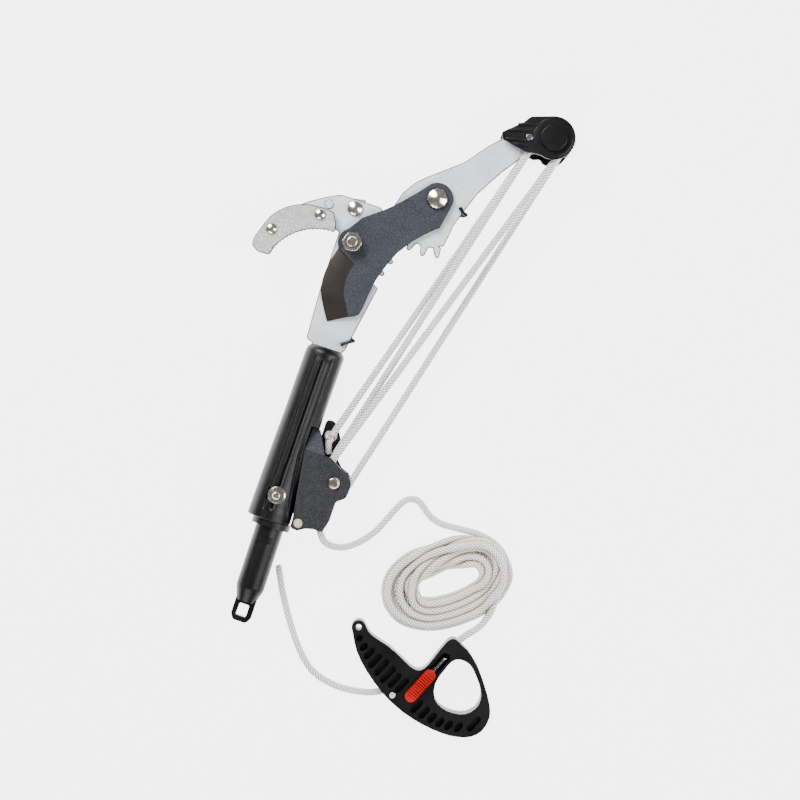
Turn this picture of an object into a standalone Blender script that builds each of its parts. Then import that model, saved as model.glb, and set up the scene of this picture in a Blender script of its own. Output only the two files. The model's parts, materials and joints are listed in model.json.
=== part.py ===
"""Head of a rope-operated tree pruner, lying on its back on a flat surface.

A geared lever turns a bypass blade into a slotted hook. Four falls of rope run between two
sheaves at the lever's tip and two in a bracket on the pole socket, and the free end runs
through a coil to a pull handle. Lengths in this file are millimetres; +Y runs along the pole
towards the head, and +Z points away from the surface. Run it with:
    blender --background --python part.py
"""

import math

import bmesh
import bpy
from mathutils import Matrix, Vector

MM = 0.001
GAP = 0.3  # running gap between neighbouring pieces

# Driving dimensions -------------------------------------------------------------------------
CENTRE = (64.1, 120.5)  # middle of the footprint, where the frame's origin stands
MID_Z = 16.5  # height of the plates' middle plane and of the socket's axis
PLATE = 3.0  # thickness of the frame plate and of the lever plate
ARM = 3.7  # thickness of the blade arm
BLADE_PIVOT = (-5.0, 216.0)
LEVER_PIVOT = (45.0, 267.0)
TIP_AXLE = (113.3, 336.8)
BRACKET_AXLE = (38.1, 41.4)
MODULE = 3.4  # gear module: 18 and 24 teeth at this module span the two pivots
FRAME_TEETH = 18
LEVER_TEETH = 24
LEVER_FIRST_TOOTH = -132.0  # direction of the tooth that is in mesh at rest, in degrees
SECTOR_TEETH = 5
ROPE = 5.4  # rope diameter
ROPE_ON_SHEAVE = 10.5  # radius of the rope's centreline on a sheave
SHEAVE_WIDTH = 6.7
BOLT = 4.0  # radius of the pivot bolt
CROSS_BOLT = 3.0  # radius of the bolt through the socket
WIRE = 2.8  # diameter of the return spring's wire
HANDLE_HEIGHT = 17.0

PLATE_LOW = MID_Z - PLATE / 2
PLATE_TOP = MID_Z + PLATE / 2
ARM_LOW = PLATE_TOP + GAP
ARM_TOP = ARM_LOW + ARM
JAW_LOW = ARM_TOP + 0.6
JAW_TOP = JAW_LOW + PLATE
TIP_REAR_Z = PLATE_LOW - GAP - SHEAVE_WIDTH / 2
TIP_FRONT_Z = PLATE_TOP + GAP + SHEAVE_WIDTH / 2
BRACKET_REAR_Z = 12.1
BRACKET_FRONT_Z = 20.9


# Plane geometry -----------------------------------------------------------------------------
def polar(centre, radius, degrees):
    angle = math.radians(degrees)
    return (centre[0] + radius * math.cos(angle), centre[1] + radius * math.sin(angle))


def arc(centre, radius, start, end, steps):
    """Points from start to end degrees, both ends included."""
    turn = (end - start) / steps
    return [polar(centre, radius, start + turn * i) for i in range(steps + 1)]


def circle(centre, radius, steps=24):
    return arc(centre, radius, 0, 360, steps)[:-1]


def bearing(start, end):
    return math.degrees(math.atan2(end[1] - start[1], end[0] - start[0]))


def rounded(corners, steps=3):
    """Closed outline; a corner given as (x, y, radius) is rounded with an arc."""
    points = []
    count = len(corners)
    for i, corner in enumerate(corners):
        if len(corner) == 2:
            points.append(corner)
            continue
        here = Vector(corner[:2])
        back = (Vector(corners[i - 1][:2]) - here).normalized()
        ahead = (Vector(corners[(i + 1) % count][:2]) - here).normalized()
        half = back.angle(ahead) / 2
        centre = here + (back + ahead).normalized() * corner[2] / math.sin(half)
        reach = corner[2] / math.tan(half)
        first = here + back * reach - centre
        last = here + ahead * reach - centre
        sweep = first.angle_signed(last)
        for k in range(steps + 1):
            turned = Matrix.Rotation(-sweep * k / steps, 2) @ first
            points.append(tuple(centre + turned))
    return points


def smooth(points, per_span, closed=False):
    """Catmull-Rom curve through hand-placed points of any dimension."""
    knots = [Vector(p) for p in points]
    if closed:
        knots = [knots[-1]] + knots + knots[:2]
    else:
        knots = [2 * knots[0] - knots[1]] + knots + [2 * knots[-1] - knots[-2]]
    path = []
    for a, b, c, d in zip(knots, knots[1:], knots[2:], knots[3:]):
        for k in range(per_span):
            t = k / per_span
            bend = (2 * a - 5 * b + 4 * c - d) * t * t + (3 * b - a - 3 * c + d) * t ** 3
            path.append(tuple((2 * b + (c - a) * t + bend) / 2))
    if not closed:
        path.append(tuple(knots[-2]))
    return path


def stadium(start, end, radius, steps=6):
    """Slot outline with round ends centred on start and end."""
    along = bearing(start, end)
    far = arc(end, radius, along - 90, along + 90, steps)
    return far + arc(start, radius, along + 90, along + 270, steps)


# Meshes -------------------------------------------------------------------------------------
def ring(bm, outline, z):
    return [bm.verts.new((x, y, z)) for x, y in outline]


def wall(bm, low, high):
    count = len(low)
    for i in range(count):
        j = (i + 1) % count
        bm.faces.new((low[i], low[j], high[j], high[i]))


def cap(bm, *rings):
    """Flat face bounded by the first ring, with the other rings as holes in it."""
    edges = []
    for verts in rings:
        for i, vert in enumerate(verts):
            pair = (vert, verts[(i + 1) % len(verts)])
            edges.append(bm.edges.get(pair) or bm.edges.new(pair))
    bmesh.ops.triangle_fill(bm, edges=edges, use_beauty=True)


def slab(outline, low, high, holes=(), pockets=()):
    """Plate from low to high, with through holes and with pockets (outline, floor) in its top."""
    bm = bmesh.new()
    bottom = [ring(bm, outline, low)]
    top = [ring(bm, outline, high)]
    for hole in holes:
        bottom.append(ring(bm, hole, low))
        top.append(ring(bm, hole, high))
    for below, above in zip(bottom, top):
        wall(bm, below, above)
    for pocket, floor in pockets:
        sunk = ring(bm, pocket, floor)
        mouth = ring(bm, pocket, high)
        wall(bm, sunk, mouth)
        cap(bm, sunk)
        top.append(mouth)
    cap(bm, *bottom)
    cap(bm, *top)
    return bm


def turned(centre, profile, steps=24):
    """Solid of revolution about a vertical axis from (radius, z) pairs.

    Radii of zero at both ends close it on the axis; otherwise the profile is a closed loop.
    """
    bm = bmesh.new()
    rings = []
    for radius, z in profile:
        if radius == 0:
            rings.append([bm.verts.new((centre[0], centre[1], z))])
        else:
            rings.append(ring(bm, circle(centre, radius, steps), z))
    pairs = list(zip(rings, rings[1:]))
    if len(rings[0]) > 1:
        pairs.append((rings[-1], rings[0]))
    for a, b in pairs:
        if len(a) == 1 or len(b) == 1:
            tip, loop = (a[0], b) if len(a) == 1 else (b[0], a)
            for i in range(steps):
                bm.faces.new((tip, loop[i], loop[(i + 1) % steps]))
        else:
            wall(bm, a, b)
    return bm


def tube(path, diameter, sides=8):
    """Round bar along a path of points, with flat ends."""
    bm = bmesh.new()
    points = [Vector(p) for p in path]
    count = len(points)
    normal = None
    rings = []
    for i, point in enumerate(points):
        ahead = points[min(i + 1, count - 1)]
        behind = points[max(i - 1, 0)]
        along = (ahead - behind).normalized()
        if normal is None:
            normal = along.orthogonal().normalized()
        normal = (normal - along * normal.dot(along)).normalized()
        side = along.cross(normal)
        verts = []
        for k in range(sides):
            angle = math.tau * k / sides
            offset = normal * math.cos(angle) + side * math.sin(angle)
            verts.append(bm.verts.new(point + offset * diameter / 2))
        rings.append(verts)
    for a, b in zip(rings, rings[1:]):
        wall(bm, a, b)
    cap(bm, rings[0])
    cap(bm, rings[-1])
    return bm


def loft(sections):
    """Skin over rings of equal count, each a list of 3-D points, closed with flat ends."""
    bm = bmesh.new()
    rings = [[bm.verts.new(p) for p in section] for section in sections]
    for a, b in zip(rings, rings[1:]):
        wall(bm, a, b)
    cap(bm, rings[0])
    cap(bm, rings[-1])
    return bm


def dome(centre, radius, base, height, shank, foot):
    """Rivet with a domed head at the top, a plain shank and a flat shop head at the foot."""
    profile = [(0, foot), (radius * 0.8, foot), (radius * 0.8, foot + 1.6), (shank, foot + 1.6)]
    profile += [(shank, base), (radius, base), (radius, base + height * 0.25)]
    for k in (1, 2, 3):
        lean = math.radians(30 * k - 5)
        profile.append((radius * math.cos(lean), base + height * (0.25 + 0.75 * math.sin(lean))))
    profile.append((0, base + height))
    return turned(centre, profile, 14)


def hexagon(centre, across_flats, turn=0.0):
    return arc(centre, across_flats / math.sqrt(3), turn, turn + 360, 6)[:-1]


# Scene --------------------------------------------------------------------------------------
def clear_scene():
    for obj in list(bpy.data.objects):
        bpy.data.objects.remove(obj, do_unlink=True)


def material(name, colour, metallic, roughness):
    made = bpy.data.materials.new(name)
    made.use_nodes = True
    shader = made.node_tree.nodes["Principled BSDF"]
    shader.inputs["Base Color"].default_value = (*colour, 1)
    shader.inputs["Metallic"].default_value = metallic
    shader.inputs["Roughness"].default_value = roughness
    made.diffuse_color = (*colour, 1)
    return made


def body(name, x, y, parent=None):
    """Empty on a body's joint axis, which the body's pieces are parented to."""
    empty = bpy.data.objects.new(name, None)
    bpy.context.scene.collection.objects.link(empty)
    empty["axis"] = (x, y)
    start = parent["axis"] if parent else CENTRE
    empty.location = ((x - start[0]) * MM, (y - start[1]) * MM, 0)
    empty.parent = parent
    return empty


def piece(name, bm, look, owner):
    """Object from a mesh in millimetres, with its origin on its body's axis."""
    bmesh.ops.remove_doubles(bm, verts=bm.verts, dist=0.0005)
    x, y = owner["axis"]
    bmesh.ops.transform(bm, matrix=Matrix.Translation((-x, -y, 0)), verts=bm.verts)
    bmesh.ops.scale(bm, vec=(MM, MM, MM), verts=bm.verts)
    bmesh.ops.recalc_face_normals(bm, faces=bm.faces)
    mesh = bpy.data.meshes.new(name)
    bm.to_mesh(mesh)
    bm.free()
    mesh.shade_smooth()
    mesh.set_sharp_from_angle(angle=math.radians(35))
    mesh.materials.append(look)
    obj = bpy.data.objects.new(name, mesh)
    obj.parent = owner
    bpy.context.scene.collection.objects.link(obj)
    return obj


def cut(obj, bm):
    """Subtract a mesh in millimetres from an object, with a Boolean modifier."""
    cutter = piece(obj.name + "_cutter", bm, obj.data.materials[0], obj.parent)
    cutter.hide_render = True
    cutter.display_type = "WIRE"
    boolean = obj.modifiers.new("cut", "BOOLEAN")
    boolean.operation = "DIFFERENCE"
    boolean.object = cutter


# Gear sectors -------------------------------------------------------------------------------
def tooth(centre, pitch_radius, direction):
    """One knob-shaped tooth, clockwise: half widths at the root, flank, shoulder and crown."""
    shape = (
        (pitch_radius - MODULE * 1.25, 3.25),
        (pitch_radius - MODULE * 0.5, 2.6),
        (pitch_radius, 2.3),
        (pitch_radius + MODULE * 0.6, 1.75),
        (pitch_radius + MODULE * 0.92, 0.8),
    )
    left = [polar(centre, r, direction + math.degrees(half / r)) for r, half in shape]
    right = [polar(centre, r, direction - math.degrees(half / r)) for r, half in shape]
    return left + right[::-1]


def mesh_direction():
    """Direction from the blade pivot to the lever pivot, where the two sectors mesh."""
    return bearing(BLADE_PIVOT, LEVER_PIVOT)


def frame_sector():
    """Teeth of the frame plate from the top one down, clockwise."""
    lag = LEVER_FIRST_TOOTH - (mesh_direction() - 180)
    gap = mesh_direction() - lag * LEVER_TEETH / FRAME_TEETH
    pitch_radius = MODULE * FRAME_TEETH / 2
    points = []
    for k in range(SECTOR_TEETH):
        direction = gap + 360 / FRAME_TEETH * (0.5 - k)
        points += tooth(BLADE_PIVOT, pitch_radius, direction)
    return points


def lever_sector():
    """Teeth of the lever plate, clockwise from the one nearest the lever's handle side."""
    pitch_radius = MODULE * LEVER_TEETH / 2
    points = []
    for k in reversed(range(SECTOR_TEETH)):
        direction = LEVER_FIRST_TOOTH + 360 / LEVER_TEETH * k
        points += tooth(LEVER_PIVOT, pitch_radius, direction)
    return points


# Frame: plate, hook, pivot --------------------------------------------------------------------
JAW_RIVETS = ((-65.4, 206.8), (-34.3, 228.2))
JAW_PIN = (-30.8, 238.2)
FRAME_RIVET = (-11.3, 241.3)
TANG_RIVET = (1.5, 92.0)


def make_frame_plate(look, frame):
    """Shank, gear sector and rear half of the hook, clockwise from the tang's foot."""
    back = smooth(
        [(-51.6, 231.0), (-60.2, 224.3), (-68.8, 213.8), (-74.6, 196.0), (-73.8, 191.4)], 3
    )
    throat = smooth(
        [(-61.2, 190.0), (-55.8, 203.4), (-43.4, 213.8), (-30.5, 219.4), (-20.5, 221.5)], 3
    )
    corners = [(-10.5, 80.0, 3), (-10.5, 135.7), (-15.4, 137.5), (-15.8, 140.0), (-17.6, 180.0)]
    corners += [(-17.3, 221.0, 2)] + throat[::-1] + [(-64.5, 188.4), (-70.5, 188.4)] + back[::-1]
    corners += [(-45.3, 236.1), (-34.8, 242.7), (-24.7, 248.0, 12), (10.0, 248.1, 4), (9.5, 241.0)]
    corners += frame_sector()
    corners += [(15.0, 198.5), (19.9, 191.8), (23.9, 189.6, 1.2), (16.5, 146.6), (15.0, 138.0)]
    corners += [(13.5, 135.7), (13.5, 80.0, 3)]
    outline = rounded(corners)
    holes = [
        circle(BLADE_PIVOT, BOLT + GAP),
        circle(FRAME_RIVET, 2.5 + GAP, 12),
        circle(TANG_RIVET, 2.5 + GAP, 12),
        circle(JAW_PIN, 2.0 + GAP, 12),
    ]
    holes += [circle(centre, 2.5 + GAP, 12) for centre in JAW_RIVETS]
    piece("frame_plate", slab(outline, PLATE_LOW, PLATE_TOP, holes), look, frame)


def serration(start, middle, end, count, depth):
    """Points along the arc through three points, scalloped into count teeth."""
    ax, ay = start
    bx, by = middle
    cx, cy = end
    d = 2 * (ax * (by - cy) + bx * (cy - ay) + cx * (ay - by))
    a2, b2, c2 = (x * x + y * y for x, y in (start, middle, end))
    centre = (
        (a2 * (by - cy) + b2 * (cy - ay) + c2 * (ay - by)) / d,
        (a2 * (cx - bx) + b2 * (ax - cx) + c2 * (bx - ax)) / d,
    )
    radius = math.dist(centre, start)
    first = bearing(centre, start)
    turn = (bearing(centre, end) - first) / count
    points = []
    for i in range(count):
        for share, sunk in ((0.0, 0.0), (0.3, 0.8), (0.5, 1.0), (0.7, 0.8)):
            points.append(polar(centre, radius + depth * sunk, first + turn * (i + share)))
    points.append(end)
    return points


def make_jaw(look, steel, frame):
    """Serrated front half of the hook, spaced off the frame plate by its rivets."""
    edge = serration((-59.6, 192.0), (-45.4, 210.3), (-22.0, 218.4), 17, 1.0)
    back = smooth(
        [(-32.2, 234.0), (-44.4, 232.7), (-52.4, 230.2), (-61.0, 225.0), (-69.8, 214.5), (-76.0, 196.5)], 3
    )
    root = [(-20.0, 219.5), (-20.3, 224.0, 2), (-24.5, 232.8, 3)]
    point = [(-75.8, 190.6, 3), (-70.0, 187.2, 4), (-61.0, 187.6, 2)]
    outline = rounded(edge + root + back + point)
    holes = [circle(centre, 2.5 + GAP, 12) for centre in JAW_RIVETS]
    piece("jaw_plate", slab(outline, JAW_LOW, JAW_TOP, holes), look, frame)
    for name, centre in zip(("jaw_rivet_tip", "jaw_rivet_root"), JAW_RIVETS):
        profile = [(0, 11.4), (3.6, 11.4), (3.6, PLATE_LOW - GAP), (2.5, PLATE_LOW - GAP)]
        profile += [(2.5, PLATE_TOP + GAP), (5.2, PLATE_TOP + GAP), (5.2, JAW_LOW - GAP)]
        profile += [(2.5, JAW_LOW - GAP), (2.5, JAW_TOP + GAP), (4.2, JAW_TOP + GAP)]
        profile += [(4.2, JAW_TOP + 0.8), (3.7, JAW_TOP + 1.7), (2.2, JAW_TOP + 2.5), (0, JAW_TOP + 2.8)]
        piece(name, turned(centre, profile, 14), steel, frame)


def make_frame_fasteners(steel, grey, frame):
    """Stop plate behind the hook, with its rivet and pin, and the rivet of the tang."""
    stop = rounded(
        [(-35.0, 236.0, 3), (-32.0, 243.0, 3), (-11.5, 249.0, 1), (-5.4, 250.2, 1), (-4.5, 236.0, 4),
         (-16.0, 231.0, 6)]
    )
    low = PLATE_LOW - GAP - 2.5
    holes = [circle(FRAME_RIVET, 2.5 + GAP, 12), circle(JAW_PIN, 2.0 + GAP, 12)]
    piece("stop_plate", slab(stop, low, PLATE_LOW - GAP, holes), grey, frame)
    rivet = dome(FRAME_RIVET, 6.0, PLATE_TOP + GAP, 3.6, 2.5, low - GAP - 1.6)
    piece("frame_rivet", rivet, steel, frame)
    pin = [(0, low - GAP - 1.0), (3.0, low - GAP - 1.0), (3.0, low - GAP), (2.0, low - GAP)]
    pin += [(2.0, PLATE_TOP + GAP), (3.4, PLATE_TOP + GAP), (3.4, PLATE_TOP + 1.1), (0, PLATE_TOP + 1.1)]
    piece("jaw_pin", turned(JAW_PIN, pin, 16), steel, frame)
    rivet = [(0, PLATE_LOW - 2.5), (4.5, PLATE_LOW - 2.5), (4.5, PLATE_LOW - GAP), (2.5, PLATE_LOW - GAP)]
    rivet += [(2.5, PLATE_TOP + GAP), (4.5, PLATE_TOP + GAP), (4.5, PLATE_TOP + 2.5), (0, PLATE_TOP + 2.5)]
    piece("tang_rivet", turned(TANG_RIVET, rivet, 16), steel, frame)


def make_pivot(steel, frame):
    """Bolt from behind, with its head on the surface, and a washer and lock nut in front."""
    washer_low = ARM_TOP + GAP
    nut_low = washer_low + 1.5 + GAP
    nut_top = nut_low + 7.0
    profile = [(0, 0), (6.9, 0), (7.5, 0.5), (7.5, 4.4), (BOLT, 4.4)]
    profile += [(BOLT, nut_top + 1.2), (BOLT - 0.8, nut_top + 2.0), (0, nut_top + 2.0)]
    piece("pivot_bolt", turned(BLADE_PIVOT, profile, 24), steel, frame)
    washer_top = washer_low + 1.5
    profile = [(BOLT + GAP, washer_low), (7.2, washer_low), (7.2, washer_top), (BOLT + GAP, washer_top)]
    piece("pivot_washer", turned(BLADE_PIVOT, profile, 24), steel, frame)
    nut = slab(hexagon(BLADE_PIVOT, 13.0, 12), nut_low, nut_top, [circle(BLADE_PIVOT, BOLT + GAP)])
    piece("pivot_nut", nut, steel, frame)


# Return spring --------------------------------------------------------------------------------
SPRING_COIL_RADIUS = 8.6
SPRING_LOW = 6.1  # centreline of the lowest turn
SPRING_TOP = 13.0  # centreline of the highest turn
FIXED_HOOK = (18.8, 146.5)
MOVING_HOOK = (69.3, 262.5)
LEG_CLEARANCE = 8.8  # from the coil's end to the moving leg, which swings round the coil
HOOK_TOP = PLATE_TOP + GAP + WIRE / 2


def make_return_spring(look, frame, moving):
    """Torsion spring around the bolt; each leg ends in a hook over a plate's edge."""
    leave = bearing(BLADE_PIVOT, FIXED_HOOK) + 78
    arrive = bearing(BLADE_PIVOT, MOVING_HOOK) - 78
    sweep = (arrive - leave) % 360 + 360
    steps = 24
    coil = []
    for i in range(steps + 1):
        share = i / steps
        x, y = polar(BLADE_PIVOT, SPRING_COIL_RADIUS, leave + sweep * share)
        coil.append((x, y, SPRING_LOW + (SPRING_TOP - SPRING_LOW) * share))
    x, y = FIXED_HOOK
    hook = [(x, y, HOOK_TOP), (x, y, 12.6), (x - 5.2, y + 2.4, 10.4), (x - 7.6, y + 16.0, 8.0)]
    fixed = [(10.2, 140.8, HOOK_TOP), (x - 2.6, y - 1.6, HOOK_TOP)] + hook
    piece("return_spring", tube(fixed + coil, WIRE, 8), look, frame)
    x, y = MOVING_HOOK
    end = coil[-1]
    along = Vector((x - end[0], y - end[1], 0)).normalized()
    start = Vector(end) + along * LEG_CLEARANCE
    leg = [tuple(start), (x - 6.6, y - 2.0, SPRING_TOP), (x, y, SPRING_TOP - 0.2), (x, y, HOOK_TOP)]
    leg += [(x - 3.0, y + 1.0, HOOK_TOP + 0.1), (x - 6.2, y + 4.0, HOOK_TOP + 0.1)]
    piece("spring_leg", tube(leg, WIRE, 8), look, moving)


# Blade arm and lever --------------------------------------------------------------------------
BEVEL_EDGE = 0.6  # thickness left at the cutting edge


def make_blade_arm(look, owner):
    """Flat arm with a wide ground bevel down to the convex cutting edge.

    heel is where the edge begins; the land is the line where the bevel meets the flat.
    """
    edge = smooth(
        [(-13.8, 208.7), (-16.8, 198.0), (-17.9, 187.0), (-17.0, 176.5), (-13.4, 168.2), (-4.8, 154.1)], 3
    )
    land = smooth([(1.7, 202.0), (-0.6, 193.5), (-1.0, 187.0), (1.0, 177.0), (9.7, 162.4)], 1)
    share = (len(edge) - 1) / (len(land) - 1)
    spine = smooth(
        [(9.7, 162.4), (16.5, 166.6), (18.4, 180.3), (20.3, 194.0), (24.4, 207.6), (29.3, 219.3)], 2
    )
    spine += smooth([(36.9, 230.6), (47.1, 241.5), (53.5, 247.0)], 2)
    head = arc(LEVER_PIVOT, 12.2, -12, 128, 8)
    neck = smooth([(29.8, 267.2), (20.5, 257.0), (11.5, 248.2), (3.5, 241.8), (-3.9, 235.9)], 2)
    boss = arc(BLADE_PIVOT, 11.0, 122, 192, 5)
    back = spine[1:] + head + neck + boss
    bm = bmesh.new()
    outline = edge + [land[-1]] + back
    floor = ring(bm, outline, ARM_LOW)
    sharp = ring(bm, edge, ARM_LOW + BEVEL_EDGE)
    flat = ring(bm, land, ARM_TOP)
    rest = ring(bm, back, ARM_TOP)
    heel = ring(bm, edge[:1], ARM_TOP)[0]
    low_edge = floor[: len(edge)]
    low_back = floor[len(edge):]
    for i in range(len(edge) - 1):
        bm.faces.new((low_edge[i], low_edge[i + 1], sharp[i + 1], sharp[i]))
        near = flat[round(i / share)]
        far = flat[round((i + 1) / share)]
        bm.faces.new((sharp[i], sharp[i + 1], far))
        if near is not far:
            bm.faces.new((sharp[i], far, near))
    bm.faces.new((low_edge[-1], low_back[0], flat[-1], sharp[-1]))
    bm.faces.new((heel, sharp[0], flat[0]))
    high = [flat[-1]] + rest
    for i in range(len(high) - 1):
        bm.faces.new((low_back[i], low_back[i + 1], high[i + 1], high[i]))
    bm.faces.new((low_back[-1], low_edge[0], sharp[0], heel, rest[-1]))
    holes_low = [floor]
    holes_top = [flat + rest + [heel]]
    for centre in (BLADE_PIVOT, LEVER_PIVOT):
        loop = circle(centre, BOLT + GAP)
        holes_low.append(ring(bm, loop, ARM_LOW))
        holes_top.append(ring(bm, loop, ARM_TOP))
        wall(bm, holes_low[-1], holes_top[-1])
    cap(bm, *holes_low)
    cap(bm, *holes_top)
    piece("blade_arm", bm, look, owner)


def make_lever_rivet(steel, owner):
    """Large dome rivet that the lever turns on, fixed in the blade arm."""
    rivet = dome(LEVER_PIVOT, 8.0, ARM_TOP + GAP, 4.6, BOLT, PLATE_LOW - GAP - 2.4)
    piece("lever_rivet", rivet, steel, owner)


def make_lever_plate(look, lever):
    """Silver lever: gear sector at one end, sheave axle in the pulley housing at the other."""
    grip = [
        (57.5, 233.6), (60.6, 235.2, 1), (62.1, 244.7), (62.7, 251.4), (66.9, 264.4),
        (72.3, 279.9, 20), (84.4, 300.9, 30), (96.6, 318.2), (115.0, 329.0),
    ]
    tip = arc(TIP_AXLE, 7.0, -60, 130, 8)
    top = [
        (106.0, 342.0), (84.0, 332.5), (75.6, 324.4, 6), (68.6, 316.8), (55.3, 299.7, 20),
        (32.0, 280.4), (25.6, 274.1, 6), (18.6, 263.3), (15.6, 252.0, 4), (17.6, 243.6),
    ]
    outline = rounded(lever_sector() + top[::-1] + tip[::-1] + grip[::-1])
    holes = [
        circle(LEVER_PIVOT, BOLT + 0.08, 20), circle(TIP_AXLE, 3.0 + GAP, 16),
        circle(HOUSING_SCREW, 1.8 + GAP, 12),
    ]
    piece("lever_plate", slab(outline, PLATE_LOW, PLATE_TOP, holes), look, lever)


# Sheaves and the pulley housing -----------------------------------------------------------------
def sheave(centre, middle):
    """Grooved wheel whose rope sits flush with its rims."""
    half = SHEAVE_WIDTH / 2
    root = ROPE_ON_SHEAVE - ROPE / 2 - GAP
    rim = ROPE_ON_SHEAVE + 1.6
    bore = 3.0 + 0.08
    profile = [(bore, middle - half), (rim, middle - half), (rim, middle - half + 0.2)]
    profile += [(root + 1.3, middle - 2.7), (root, middle - 1.3), (root, middle + 1.3)]
    profile += [(root + 1.3, middle + 2.7), (rim, middle + half - 0.2), (rim, middle + half)]
    profile += [(bore, middle + half)]
    return turned(centre, profile, 18)


def make_sheaves(look, owners):
    places = {
        "tip_sheave_rear": (TIP_AXLE, TIP_REAR_Z),
        "tip_sheave_front": (TIP_AXLE, TIP_FRONT_Z),
        "bracket_sheave_rear": (BRACKET_AXLE, BRACKET_REAR_Z),
        "bracket_sheave_front": (BRACKET_AXLE, BRACKET_FRONT_Z),
    }
    for name, (centre, middle) in places.items():
        piece(name, sheave(centre, middle), look, owners[name])


SHELL = 2.6  # wall of the pulley housing
HOUSING_RIM = 16.2
HOUSING_SCREW = (95.7, 331.5)


FRONT_SKIRT = arc(TIP_AXLE, HOUSING_RIM, 108, -108, 20) + [(104.5, 321.4, 1.5)]
REAR_SKIRT = arc(TIP_AXLE, HOUSING_RIM, 108, -18, 12) + [
    (125.4, 323.6, 4), (121.0, 318.4, 4), (112.0, 317.8, 4), (109.0, 320.8, 2), (104.0, 318.8, 2),
]


def housing_outline(skirt):
    """Pointed nose on the lever, and a round end about the sheaves."""
    nose = [
        (97.0, 320.2), (77.5, 324.0, 2), (74.8, 328.5, 2), (88.5, 341.0, 5), (92.0, 346.5, 5),
    ]
    return rounded(nose + skirt)


def make_housing(black, steel, lever):
    """Two plastic shells around the sheaves, open towards the rope at the lower right."""
    front_low = TIP_FRONT_Z + SHEAVE_WIDTH / 2 + GAP
    rear_top = TIP_REAR_Z - SHEAVE_WIDTH / 2 - GAP
    inner = arc(TIP_AXLE, HOUSING_RIM - 2.2, 64, 180, 10)[::-1]
    outer = arc(TIP_AXLE, HOUSING_RIM, 64, 180, 10)
    rim_outline = outer + inner
    hole = [circle(TIP_AXLE, 3.0 + GAP, 20), circle(HOUSING_SCREW, 1.8 + GAP, 12)]
    front = piece(
        "housing_front", slab(housing_outline(FRONT_SKIRT), front_low, front_low + SHELL, hole), black, lever
    )
    rear = piece(
        "housing_rear", slab(housing_outline(REAR_SKIRT), rear_top - SHELL, rear_top, hole), black, lever
    )
    join(front, slab(rim_outline, PLATE_TOP + GAP, front_low + 1.0))
    join(rear, slab(rim_outline, rear_top - 1.0, PLATE_LOW - GAP))
    axle = [(0, 0), (8.6, 0), (9.4, 0.6), (9.4, rear_top - SHELL - GAP), (3.0, rear_top - SHELL - GAP)]
    axle += [(3.0, front_low + SHELL + 1.6), (0, front_low + SHELL + 1.6)]
    piece("tip_axle", turned(TIP_AXLE, axle, 24), black, lever)
    face = front_low + SHELL
    hub = [(3.0 + GAP, face + GAP), (9.4, face + GAP)]
    hub += [(9.4, face + 2.0), (8.6, face + 2.6), (3.0 + GAP, face + 2.6)]
    piece("tip_hub", turned(TIP_AXLE, hub, 24), black, lever)
    screw = [(0, rear_top - SHELL - 1.2), (2.6, rear_top - SHELL - 1.2), (2.6, rear_top - SHELL - GAP)]
    screw += [(1.8, rear_top - SHELL - GAP), (1.8, front_low + SHELL + GAP), (2.6, front_low + SHELL + GAP)]
    screw += [(2.4, front_low + SHELL + 1.2), (0, front_low + SHELL + 1.5)]
    piece("housing_screw", turned(HOUSING_SCREW, screw, 16), steel, lever)


def join(obj, bm):
    """Boolean union of a mesh in millimetres onto an object."""
    extra = piece(obj.name + "_rim", bm, obj.data.materials[0], obj.parent)
    extra.hide_render = True
    extra.display_type = "WIRE"
    union = obj.modifiers.new("join", "BOOLEAN")
    union.operation = "UNION"
    union.object = extra


# Socket and pole adapter ------------------------------------------------------------------------
SOCKET_BOLT = (1.1, 19.8)
SOCKET_FOOT = 0.0
SOCKET_END = 135.0
BORE = 12.0
BORE_DEPTH = 55.0
COLLAR_FOOT = -5.0
ADAPTER_SHIFT = 3.0  # the spigot below the collar stands a little to the right of the socket


def socket_section(y):
    """Ribbed round section: the tube flares to its foot and leans a little at its top."""
    share = y / SOCKET_END
    middle = 1.6 * share * share
    radius = 16.5 - 1.7 * min(1.0, share * 1.6)
    points = []
    for k in range(32):
        angle = math.tau * k / 32
        groove = 0.55 if k in (5, 11, 21, 27) else 0.0
        across = (radius - groove) * math.cos(angle)
        points.append((middle + across, y, MID_Z + (radius - groove) * math.sin(angle)))
    return points


def make_socket(black, frame):
    """Moulded pole socket: the bore takes the adapter, and a slot above holds the tang."""
    heights = [SOCKET_FOOT, 20, 45, 70, 100, 128]
    sections = [socket_section(y) for y in heights]
    last = []
    for x, y, z in socket_section(SOCKET_END):
        last.append((1.6 + (x - 1.6) * 0.86, y, MID_Z + (z - MID_Z) * 0.86))
    sections.append(last)
    socket = piece("pole_socket", loft(sections), black, frame)
    cut(socket, loft([bore_ring(-1, BORE), bore_ring(BORE_DEPTH, BORE)]))
    tang = [(-10.5 - GAP, 70), (13.5 + GAP, 70), (13.5 + GAP, 140), (-10.5 - GAP, 140)]
    cut(socket, slab(tang, PLATE_LOW - GAP, PLATE_TOP + GAP))
    cut(socket, slab(circle(TANG_RIVET, 5.2, 16), PLATE_LOW - 3.1, PLATE_TOP + 3.1))
    (left, top), (low_x, low_y) = CHEEK_EDGE
    seat = [(left - GAP, top + 0.6), (low_x - GAP, low_y - 12.0), (30, low_y - 12.0), (30, top + 0.6)]
    cut(socket, slab(seat, CHEEK_FRONT - GAP, 45))
    cut(socket, loft(facet(GAP, 20.0)))
    cut(socket, slab([(8, 9.5), (20, 9.5), (20, 44.5), (8, 44.5)], TAB_LOW - GAP, TAB_TOP + GAP))
    cut(socket, slab(circle(SOCKET_BOLT, CROSS_BOLT + GAP, 20), -2, 40))
    cut(socket, slab(circle(SOCKET_BOLT, 7.0 + GAP, 20), -2, 2.1 + GAP))


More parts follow.
